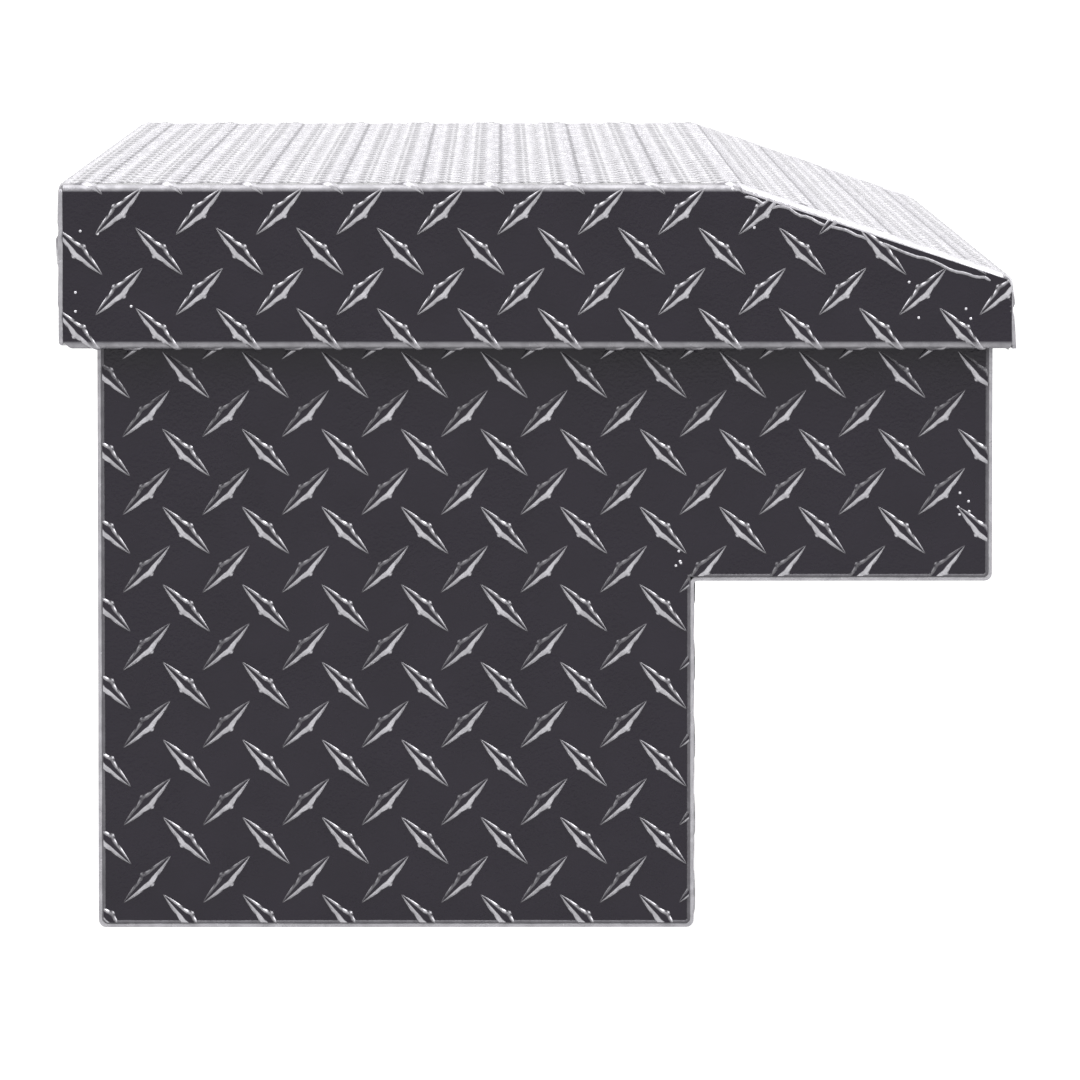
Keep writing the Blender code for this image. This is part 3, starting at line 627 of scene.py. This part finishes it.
def coat_material():
    """Glossy charcoal powder coat: orange peel, slight mottling, and a painted highlight of light metallic
    grey on lug flanks, folds, welds and spatter, with the same lighter grey, weaker, on cut edges.
    """
    shader = Shader("charcoal_coat", (0.012, 0.011, 0.014), 0.25)
    shader.set("Specular IOR Level", 0.32)
    flank = shader.attribute("flank")
    cut = shader.attribute("cut")
    mottle = shader.noise(55, 4)
    base = shader.mix(mottle, (0.0040, 0.0024, 0.0062), (0.0080, 0.0056, 0.0112))
    # the painted highlight's share, and a weaker lightening of cut edges
    sheen_strength = shader.math("MAXIMUM", shader.math("MULTIPLY", flank, 0.95), shader.math("MULTIPLY", cut, 0.60))
    patchy = shader.math("MULTIPLY", sheen_strength, shader.ramp(shader.noise(260, 3), 0.72, 1.0, 0.35, 0.65))
    # the painted highlight mixes the coat toward a light metallic grey
    shader.to("Base Color", shader.mix(patchy, base, (0.56, 0.55, 0.58)))
    shader.to("Metallic", shader.ramp(patchy, 0, 0.95))
    shader.to("Roughness", shader.ramp(shader.noise(120, 3), 0.20, 0.32))
    grain, patches = shader.noise(760, 1.5), shader.noise(30, 2)
    peel = shader.math("MULTIPLY", grain, shader.ramp(patches, 0.2, 1.0, 0.45, 0.60))
    shader.bump(peel, 0.8, 0.00030)
    shader.bump(shader.noise(1300, 2), 0.18, 0.0001)
    return shader.material


def brushed_material(name, colour, way, low, high):
    """Metal with fine grinding lines. way scales the noise's coordinates, and is small along the lines."""
    shader = Shader(name, colour, 0.3, 1.0)
    lines = shader.noise(1500, 3, way)
    smears = shader.noise(45, 3)
    darker = tuple(value * 0.80 for value in colour)
    shader.to("Base Color", shader.mix(shader.ramp(smears, 0.0, 1.0, 0.35, 0.7), colour, darker))
    shader.to("Roughness", shader.math("ADD", shader.ramp(lines, low, high), shader.ramp(smears, 0.0, 0.06)))
    shader.bump(lines, 0.20, 0.00006)
    return shader.material


def zinc_material():
    """Plated steel: faint spangle, blotches of blue and yellow, dull where it was handled."""
    shader = Shader("zinc", (0.50, 0.51, 0.52), 0.4, 1.0)
    spangle = shader.cells(700)
    blotch = shader.noise(70, 4)
    tint = shader.mix(blotch, (0.46, 0.49, 0.54), (0.55, 0.54, 0.47))
    shader.to("Base Color", shader.mix(shader.ramp(spangle, 0.0, 0.35), tint, (0.66, 0.67, 0.68)))
    shader.to("Roughness", shader.ramp(blotch, 0.30, 0.50))
    shader.bump(shader.noise(2500, 2), 0.15, 0.00005)
    return shader.material


def rubber_material():
    """Extruded black rubber: fine grain, a little pale dust."""
    shader = Shader("rubber", (0.02, 0.02, 0.021), 0.7)
    dust = shader.noise(180, 5, roughness=0.7)
    dusty = shader.ramp(dust, 0.0, 1.0, 0.45, 0.8)
    shader.to("Base Color", shader.mix(dusty, (0.016, 0.016, 0.017), (0.060, 0.058, 0.055)))
    shader.to("Roughness", shader.ramp(dust, 0.55, 0.85))
    shader.bump(shader.noise(2200, 3), 0.30, 0.00010)
    return shader.material


def strut_material():
    """Black enamel on the gas struts' tubes, with hair scratches and thin orange peel."""
    shader = Shader("strut_enamel", (0.010, 0.010, 0.011), 0.2)
    scratches = shader.noise(600, 2, (0.06, 1, 1))
    scratched = shader.ramp(scratches, 0.0, 1.0, 0.64, 0.78)
    shader.to("Base Color", shader.mix(scratched, (0.010, 0.010, 0.011), (0.055, 0.055, 0.058)))
    shader.to("Roughness", shader.ramp(shader.noise(90, 3), 0.16, 0.34))
    shader.bump(shader.noise(900, 2), 0.12, 0.00008)
    return shader.material


def brass_material():
    """Turned brass of the key plug, darkened in patches."""
    shader = Shader("brass", (0.62, 0.48, 0.24), 0.3, 1.0)
    tarnish = shader.noise(400, 4)
    dark = shader.ramp(tarnish, 0.0, 1.0, 0.4, 0.75)
    shader.to("Base Color", shader.mix(dark, (0.66, 0.50, 0.25), (0.34, 0.24, 0.12)))
    shader.to("Roughness", shader.ramp(tarnish, 0.22, 0.45))
    shader.bump(shader.noise(3000, 2), 0.12, 0.00004)
    return shader.material


coat = coat_material()
stainless = brushed_material("brushed_stainless", (0.50, 0.50, 0.51), (1, 0.02, 1), 0.20, 0.36)
polished = brushed_material("polished_rod", (0.68, 0.68, 0.69), (0.02, 1, 0.02), 0.06, 0.14)
zinc = zinc_material()
rubber = rubber_material()
enamel = strut_material()
brass = brass_material()


# Lid ---------------------------------------------------------------------------------------------

LID_PITCH = 0.0311
LID_SITE_X = LID_BACK + 0.02355      # a lug's middle on the top, and every LID_PITCH from it
LID_SITE_Y = -LID_END + 0.02055
LID_SITE_Z = 0.2636                  # and on the end skirts
HINGE_FOOT = Vector(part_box("hinge_leaf_lid")[0])
FLANGE_FOOT = HINGE_FOOT.z + 0.0015
FLANGE_EDGE = LID_BACK + 0.0069
BARE_SKIRT = 0.236                   # the back skirt has no lugs near its foot, below about this height


def rectangle(low, high, half):
    """An outline from low to high along u, and half each way along v."""
    return [(low, -half), (high, -half), (high, half), (low, half)]


def lid_top():
    """Hinge flange, back skirt, top, slope and front skirt, folded from one sheet."""
    path = [
        (FLANGE_EDGE, FLANGE_FOOT),
        (LID_BACK, FLANGE_FOOT),
        (LID_BACK, LID_TOP),
        (LID_BREAK, LID_TOP),
        (LID_FRONT, LID_BROW),
        (LID_FRONT + LID_FLARE, LID_FOOT),
    ]
    shape = Folded(path)
    site_u = shape.at(LID_SITE_X, LID_TOP)
    bare = [(-1, -1, shape.at(LID_BACK, BARE_SKIRT), 1)]
    # on the top the wide band of painted highlight lies on the other flank
    tread = Tread(LID_PITCH, LID_PITCH, site_u, LID_SITE_Y, bare, PLAIN, bright_side=-1)
    return sheet_piece("lid_top", shape, [rectangle(0, shape.total, LID_END - FOLD)], tread, coat)


def lid_end(name, side):
    """An end skirt, folded down from the top along its flat part, with its foot turned in."""
    path = [(LID_END - FOLD, LID_TOP), (LID_END, LID_TOP), (LID_END, LID_FOOT), (LID_END - HEM, LID_FOOT)]
    shape = FoldedEnd(path, side)

    def down(z):
        return shape.fold.at(LID_END, z)

    front = LID_FRONT + 0.0004
    back = LID_BACK + 0.0019
    break_v = down(LID_TOP - FOLD)
    outline = [
        (back, 0),
        (LID_BREAK, 0),
        (LID_BREAK + 0.001, break_v),
        (LID_FRONT - 0.001, down(LID_BROW - 0.0006)),
        (front, down(LID_BROW - 0.004)),
        (front, down(LID_FOOT + FOLD)),
        (front - 0.001, shape.total),
        (back + HEM, shape.total),
        (back, down(LID_FOOT + FOLD)),
    ]
    tread = Tread(LID_PITCH, LID_PITCH, LID_SITE_X + LID_PITCH / 2, down(LID_SITE_Z))
    return sheet_piece(name, shape, [outline], tread, coat, flip=side < 0)


def toe_path(side, points=45):
    """The ragged toe of the slope's weld, a little way below it on the end skirt."""
    draw = np.random.default_rng(21 + (side > 0))
    wander = np.convolve(draw.normal(0, 0.00045, points + 15), (0.7, 1.0, 0.3), "same")[8:8 + points]
    toe = []
    for share, drift in zip(np.linspace(0, 1, points), wander):
        x = LID_BREAK + 0.002 + (LID_FRONT - LID_BREAK - 0.010) * share
        z = LID_TOP + (LID_BROW - LID_TOP) * (x - LID_BREAK) / (LID_FRONT - LID_BREAK)
        toe.append((x, side * (LID_END - 0.0002), z - 0.0042 + drift))
    return toe


def lid_welds(name, side):
    """The welds of one end: along the slope with its toe, and up the back and front corners. The fills close
    the corners behind their beads."""
    out, corner = side * (LID_END - FOLD), side * (LID_END - 0.0010)
    slope = [
        (LID_BREAK - 0.004, out, LID_TOP - FOLD + 0.0004),
        (LID_BREAK, out, LID_TOP - FOLD + 0.0003),
        (LID_FRONT - FOLD + 0.0002, out, LID_BROW - FOLD * 0.35),
    ]
    back_fill = [(LID_BACK + FOLD, out, LID_FOOT + 0.003), (LID_BACK + FOLD, out, LID_TOP - FOLD)]
    back = [(LID_BACK + 0.0011, corner, LID_FOOT + 0.0016), (LID_BACK + 0.0011, corner, LID_TOP - 0.0018)]
    brow = (LID_FRONT - 0.0010, corner, LID_BROW - 0.001)
    front = [brow, (LID_FRONT + LID_FLARE - 0.0012, corner, LID_FOOT + 0.001)]
    front_fill = [
        (LID_FRONT - FOLD, out - side * 0.0006, LID_BROW - FOLD * 0.6),
        (LID_FRONT + LID_FLARE - FOLD - 0.0004, out - side * 0.0006, LID_FOOT + 0.003),
    ]
    # Each bead: part, path, radius, share of painted highlight, and how rough its ripples are
    beads = (
        ("slope", slope, FOLD, 0.85, 0.20),
        ("back", back, 0.0011, 0.60, 1.0),
        ("back_fill", back_fill, FOLD - 0.0002, 0.1, 0.1),
        ("front", front, 0.0010, 0.55, 1.0),
        ("front_fill", front_fill, FOLD - 0.0004, 0.1, 0.1),
        ("toe", toe_path(side), 0.00065, 0.50, 1.0),
    )
    pieces = []
    for seed, (part, path, radius, sheen_strength, rough) in enumerate(beads):
        own_seed = 3 + 2 * seed + (side > 0)
        pieces.append(weld_bead(f"{name}_{part}", path, radius, coat, own_seed, sheen_strength, rough))
    return pieces


def spatter(name, body, spots, side, wall):
    """Weld spatter: small round drops stuck to an end wall, each wholly under a painted highlight."""
    places = [(x, side * wall, z) for x, z in spots]
    drops = rivets(name, places, (0, side, 0), 0.00055, coat)
    # painted highlight over each whole drop
    set_shares(drops.data, "flank", "POINT", np.ones(len(drops.data.vertices)))
    place(drops, body, "coat")


def spatter_spots(side):
    """Where drops sit: by the lid's slope and back corner, and by the tub's notch and front corner. Each is
    spread evenly along its weld, and thins out away from it."""
    draw = np.random.default_rng(40 + (side > 0))
    by_slope = [
        (x, LID_BROW + 0.0235 - 0.36 * (x - LID_BREAK) - abs(draw.normal(0, 0.010)))
        for x in draw.uniform(LID_BREAK, LID_FRONT - 0.01, 7)
    ]
    by_back = [
        (LID_BACK + 0.006 + abs(draw.normal(0, 0.016)), z)
        for z in draw.uniform(LID_FOOT + 0.006, LID_TOP - 0.008, 5)
    ]
    by_notch = [
        (TUB_RISER - 0.004 - abs(draw.normal(0, 0.006)), TUB_LEDGE + 0.004 + abs(draw.normal(0, 0.005)))
        for _ in range(4)
    ]
    by_front = [
        (TUB_FRONT - 0.005 - abs(draw.normal(0, 0.012)), z)
        for z in draw.uniform(TUB_LEDGE + 0.008, TUB_RIM - 0.02, 5)
    ]
    return by_slope + by_back, by_notch + by_front


# Tub ---------------------------------------------------------------------------------------------

TUB_PITCH = (0.03088, 0.03026)       # across an end and down it
TUB_SITE_X, TUB_SITE_Z = -0.1674, 0.2154      # a lug's middle on the ends
TRAY_LAP_Y, TRAY_LAP_Z = 0.007, 0.0075        # the latch tray's flange laps its opening by this much
DRAIN_RADIUS = 0.007
BARE_STRIP = 0.014                   # the wrapper has no lugs this near its ends
BARE_REACH = 0.012                   # nor this near the rim, the latch and the drain


def tub_wrapper():
    """Rims, front, ledge, riser, floor and back, folded from one sheet, with holes for latch and drain."""
    path = [
        (TUB_FRONT - RIM_WIDTH, TUB_RIM),
        (TUB_FRONT, TUB_RIM),
        (TUB_FRONT, TUB_LEDGE),
        (TUB_RISER, TUB_LEDGE),
        (TUB_RISER, TUB_FLOOR),
        (TUB_BACK, TUB_FLOOR),
        (TUB_BACK, TUB_RIM),
        (TUB_BACK + RIM_WIDTH, TUB_RIM),
    ]
    shape = Folded(path)
    outline = rectangle(0, shape.total, TUB_END)
    tray_low, tray_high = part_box("latch_tray")
    low, high = shape.at(TUB_FRONT, tray_high.z - TRAY_LAP_Z), shape.at(TUB_FRONT, tray_low.z + TRAY_LAP_Z)
    half = tray_high.y - TRAY_LAP_Y
    opening = rectangle(low, high, half)
    drain_low, drain_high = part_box("drain_plug")
    drain_u = shape.at((drain_low.x + drain_high.x) / 2, TUB_FLOOR)
    drain_y = (drain_low.y + drain_high.y) / 2
    drain = []
    for index in range(24):
        turn = math.tau * index / 24
        drain.append((drain_u + DRAIN_RADIUS * math.cos(turn), drain_y + DRAIN_RADIUS * math.sin(turn)))
    bare = [
        (-1, -1, 9, BARE_STRIP - TUB_END),
        (-1, TUB_END - BARE_STRIP, 9, 1),
        (-1, -1, shape.at(TUB_FRONT, TUB_RIM - BARE_REACH), 1),
        (shape.at(TUB_BACK, HINGE_FOOT.z - 0.002), -1, 9, 1),
        (low - BARE_REACH, -half - BARE_REACH, high + BARE_REACH, half + BARE_REACH),
        (drain_u - BARE_REACH, drain_y - BARE_REACH, drain_u + BARE_REACH, drain_y + BARE_REACH),
    ]
    site_u, site_v = shape.at(TUB_FRONT, TUB_SITE_Z), -TUB_END + 0.0120
    tread = Tread(TUB_PITCH[1], TUB_PITCH[0], site_u, site_v, bare, PLAIN)
    return sheet_piece("tub_skin", shape, [outline, opening, drain], tread, coat)


def tub_end(name, side):
    """An end plate set between the wrapper's edges, its top turned in as the rim's short side."""
    inset = SHEET + WELD_GAP
    path = [(TUB_END - RIM_WIDTH, TUB_RIM), (TUB_END, TUB_RIM), (TUB_END, TUB_FLOOR - 0.02)]
    shape = FoldedEnd(path, side)

    def down(z):
        return shape.fold.at(TUB_END, z)

    neck_back, neck_front = TUB_BACK + RIM_WIDTH + WELD_GAP, TUB_FRONT - RIM_WIDTH - WELD_GAP
    back, front, riser = TUB_BACK + inset, TUB_FRONT - inset, TUB_RISER - inset
    corner = 0.0014
    outline = [
        (neck_back, 0),
        (neck_front, 0),
        (neck_front, down(TUB_RIM - FOLD)),
        (front, down(TUB_RIM - FOLD)),
        (front, down(TUB_LEDGE + inset + corner)),
        (front - corner, down(TUB_LEDGE + inset)),
        (riser, down(TUB_LEDGE + inset)),
        (riser, down(inset + corner)),
        (riser - corner, down(inset)),
        (back + corner, down(inset)),
        (back, down(inset + corner)),
        (back, down(TUB_RIM - FOLD)),
        (neck_back, down(TUB_RIM - FOLD)),
    ]
    bare = [(-1, -1, 1, down(TUB_RIM - 0.001))]
    # the second lattice's thin line of painted highlight is faint on the tub's ends
    tread = Tread(*TUB_PITCH, TUB_SITE_X, down(TUB_SITE_Z), bare, thin_line=(1, 0.3))
    return sheet_piece(name, shape, [outline], tread, coat, flip=side < 0)


def tub_welds(name, side):
    """The weld round the end plate, where it meets the wrapper's edges."""
    out = side * (TUB_END - 0.0004)
    inset = SHEET + 0.0004
    path = [
        (TUB_FRONT - inset, out, TUB_RIM - 0.004),
        (TUB_FRONT - inset, out, TUB_LEDGE + inset + 0.001),
        (TUB_FRONT - inset - 0.001, out, TUB_LEDGE + inset),
        (TUB_RISER - inset, out, TUB_LEDGE + inset),
        (TUB_RISER - inset, out, TUB_FLOOR + inset + 0.001),
        (TUB_RISER - inset - 0.001, out, TUB_FLOOR + inset),
        (TUB_BACK + inset + 0.001, out, TUB_FLOOR + inset),
        (TUB_BACK + inset, out, TUB_FLOOR + inset + 0.001),
        (TUB_BACK + inset, out, TUB_RIM - 0.004),
    ]
    seed = 11 + (side > 0)
    return weld_bead(name, path, 0.0008, coat, seed, 0.15, 1.0, step=0.0007, ripple=0.0017, sides=8)


# Building ----------------------------------------------------------------------------------------


def place(piece, body, slot, *nodes):
    """A piece rides on its body and stands for the CAD nodes named, which are hidden. slot is not used."""
    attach(piece, body)
    if nodes:
        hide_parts(*nodes)
    return piece


slot_of = {part["node"]: part["material_slot"] for part in frame["record"]["subparts"]}
ROUNDED = math.radians(40)           # sharper edges than this are rounded


def refined(node, width, material):
    """A copy of a CAD node's shape, its edges rounded by width and its round faces smooth, in its place."""
    mesh = frame["nodes"][node].data.copy()
    mesh.materials.clear()
    mesh.materials.append(material)
    bm = bmesh.new()
    bm.from_mesh(mesh)
    bmesh.ops.remove_doubles(bm, verts=bm.verts, dist=1e-6)
    bmesh.ops.dissolve_limit(bm, angle_limit=math.radians(1), verts=bm.verts, edges=bm.edges)
    bm.to_mesh(mesh)
    bm.free()
    for face in mesh.polygons:
        face.material_index = 0
    mesh.shade_smooth()
    mesh.set_sharp_from_angle(angle=ROUNDED)
    piece = add_object(f"{node}_fine", mesh)
    if width:
        bevel = piece.modifiers.new("edges", "BEVEL")
        bevel.width = width
        bevel.segments = 2
        bevel.limit_method = "ANGLE"
        bevel.angle_limit = ROUNDED
        bevel.harden_normals = True
    piece.data = bpy.data.meshes.new_from_object(piece.evaluated_get(bpy.context.evaluated_depsgraph_get()))
    piece.modifiers.clear()
    return place(piece, frame["nodes"][node]["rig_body"], slot_of[node], node)


# Out and up, in the rivet's radii
RIVET_PROFILE = ((1.0, -0.1), (1.0, 0.12), (0.93, 0.26), (0.70, 0.42), (0.38, 0.52))
RIVET_CROWN = 0.55
RIVET_SIDES = 20


def rivets(name, places, way, radius, material):
    """Domed rivet heads, each a turned profile that stands on a surface and points along way."""
    turn = Vector((0, 0, 1)).rotation_difference(Vector(way)).to_matrix()
    vertices, faces, sides = [], [], RIVET_SIDES
    for middle in places:
        first = len(vertices)
        for out, up in RIVET_PROFILE:
            for corner in range(sides):
                angle = math.tau * corner / sides
                spot = Vector((out * math.cos(angle), out * math.sin(angle), up)) * radius
                vertices.append(Vector(middle) + turn @ spot)
        top = len(vertices)
        vertices.append(Vector(middle) + turn @ Vector((0, 0, RIVET_CROWN * radius)))
        faces += wall_faces(first, len(RIVET_PROFILE), sides)
        for corner in range(sides):
            faces.append((top - sides + corner, top - sides + (corner + 1) % sides, top))
        faces.append(tuple(first + corner for corner in range(sides))[::-1])
    return mesh_piece(name, vertices, faces, material, 50)


HINGE_RIVETS = 15
HINGE_REACH = 0.42                   # from the middle to the last rivet each way
LEAF_X, LEAF_ROW_Z = -0.17260, 0.2362         # the tub's leaf: its outer face, and its rivets' height
LID_ROW_X = -0.1819                  # the lid's leaf: its rivets' place across the flange


def rivet_rows():
    """Rivets along both hinge leaves, their tails inside the tub, and rivets in the latch tray's flange."""
    row = [-HINGE_REACH + 2 * HINGE_REACH * index / (HINGE_RIVETS - 1) for index in range(HINGE_RIVETS)]
    rows = (
        ("hinge_rivets_tub", "tub", LEAF_X, LEAF_ROW_Z, (-1, 0, 0), 0.0022),
        ("hinge_rivet_tails", "tub", TUB_BACK + SHEET, LEAF_ROW_Z, (1, 0, 0), 0.0020),
        ("hinge_rivets_lid", "lid", LID_ROW_X, HINGE_FOOT.z, (0, 0, -1), 0.0018),
    )
    for name, body, x, z, way, radius in rows:
        heads = rivets(name, [(x, y, z) for y in row], way, radius, stainless)
        place(heads, body, "stainless")
    tray_low, tray_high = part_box("latch_tray")
    corners = []
    for y in (tray_low.y + 0.0045, 0, tray_high.y - 0.0045):
        for z in (tray_low.z + 0.004, tray_high.z - 0.004):
            corners.append((tray_high.x, y, z))
    place(rivets("latch_rivets", corners, (1, 0, 0), 0.0024, stainless), "tub", "stainless")


def camera():
    """The photo's view: a long lens nearly square to the near end, from a little above the lid."""
    data = bpy.data.cameras.new("camera")
    data.sensor_width = 36
    data.lens = 338
    data.clip_end = 2000
    eye = add_object("camera", data)
    eye.location = (-0.0147, -4.377, 0.413)
    target = Vector((0.0009, -0.457, 0.1517))
    eye.rotation_euler = (target - eye.location).to_track_quat("-Z", "Y").to_euler()
    bpy.context.scene.camera = eye


def floor():
    """A very wide pale floor, bright enough to read as white."""
    size = 600
    corners = [(-size, -size, 0), (size, -size, 0), (size, size, 0), (-size, size, 0)]
    shader = Shader("pale_floor", (0.12, 0.12, 0.12), 0.9)
    shader.set("Emission Color", (1, 1, 1, 1))
    shader.set("Emission Strength", 0.90)
    shader.to("Base Color", shader.mix(shader.noise(3, 2), (0.115, 0.115, 0.115), (0.125, 0.125, 0.125)))
    piece = mesh_piece("floor", corners, [(0, 1, 2, 3)], shader.material)


def world():
    """White all round and brighter above, with soft lights upper right and left, behind the far end and
    overhead. Each light fades in between two cosines of the angle to its direction."""
    scene = bpy.context.scene
    scene.view_settings.view_transform = "Standard"
    sky = bpy.data.worlds.new("studio")
    scene.world = sky
    sky.use_nodes = True
    nodes, links = sky.node_tree.nodes, sky.node_tree.links
    background = nodes["Background"]
    background.inputs["Color"].default_value = (1, 1, 1, 1)
    way = nodes.new("ShaderNodeTexCoord").outputs["Generated"]

    def dot(direction):
        node = nodes.new("ShaderNodeVectorMath")
        node.operation = "DOT_PRODUCT"
        node.inputs[1].default_value = Vector(direction).normalized()
        links.new(way, node.inputs[0])
        return node.outputs["Value"]

    def spread(value, start, end, low, high):
        node = nodes.new("ShaderNodeMapRange")
        node.interpolation_type = "SMOOTHSTEP"
        for name, number in (("From Min", start), ("From Max", end), ("To Min", low), ("To Max", high)):
            node.inputs[name].default_value = number
        links.new(value, node.inputs["Value"])
        return node.outputs["Result"]

    def add(first, second):
        node = nodes.new("ShaderNodeMath")
        node.operation = "ADD"
        links.new(first, node.inputs[0])
        links.new(second, node.inputs[1])
        return node.outputs["Value"]

    lights = (
        ((0.62, -0.35, 0.66), 0.84, 0.96, 4.0),
        ((-0.62, -0.35, 0.66), 0.84, 0.96, 3.4),
        ((0, 0.97, 0.25), 0.60, 0.90, 0.70),
        ((0, 0, 1), 0.78, 0.93, 2.1),
    )
    total = spread(dot((0, 0, 1)), 0.10, 0.50, 0.95, 1.35)
    for direction, start, end, strength in lights:
        total = add(total, spread(dot(direction), start, end, 0.0, strength))
    links.new(total, background.inputs["Strength"])


def sun(name, direction, strength, angle):
    """A distant light from a direction, its angle across in degrees."""
    data = bpy.data.lights.new(name, "SUN")
    data.energy = strength
    data.angle = math.radians(angle)
    lamp = add_object(name, data)
    lamp.rotation_euler = Vector(direction).to_track_quat("Z", "Y").to_euler()


camera()
world()
floor()
sun("key", (0.5, -0.5, 0.75), 0.6, 20)

place(lid_top(), "lid", "coat", "lid_shell")
for end, side in (("near", -1), ("far", 1)):
    place(lid_end(f"lid_end_{end}", side), "lid", "coat", "lid_shell")
    for weld in lid_welds(f"lid_weld_{end}", side):
        place(weld, "lid", "coat")
    place(tub_end(f"tub_end_plate_{end}", side), "tub", "coat", f"tub_end_{end}")
    place(tub_welds(f"tub_weld_{end}", side), "tub", "coat")
    on_lid, on_tub = spatter_spots(side)
    spatter(f"lid_spatter_{end}", "lid", on_lid, side, LID_END)
    spatter(f"tub_spatter_{end}", "tub", on_tub, side, TUB_END)
place(tub_wrapper(), "tub", "coat", "tub_wrapper")

for end in ("near", "far"):
    refined(f"strut_rod_{end}", 0.0003, polished)
    refined(f"strut_tube_{end}", 0.0006, enamel)
    refined(f"strut_foot_{end}", 0.0004, zinc)
    refined(f"strut_bracket_{end}", 0.0004, zinc)
for node in ("latch_tray", "latch_paddle"):
    refined(node, 0.00035, stainless)
for node in ("lock_barrel", "latch_rotor", "rotor_pin", "lever_pin", "paddle_pin"):
    refined(node, 0.00025, stainless)
for node in ("hinge_leaf_tub", "hinge_leaf_lid", "hinge_pin"):
    refined(node, 0.00025, stainless)
for node in ("striker", "latch_housing", "trip_lever"):
    refined(node, 0.0003, zinc)
for number in (1, 2, 3):
    refined(f"lid_stiffener_{number}", 0.0003, zinc)
refined("paddle_spring", 0, zinc)
refined("lock_plug", 0.0002, brass)
refined("lid_pan", 0.0004, coat)
for node in ("weather_seal", "latch_gasket", "drain_plug"):
    refined(node, 0.0003 if node == "latch_gasket" else 0, rubber)
rivet_rows()
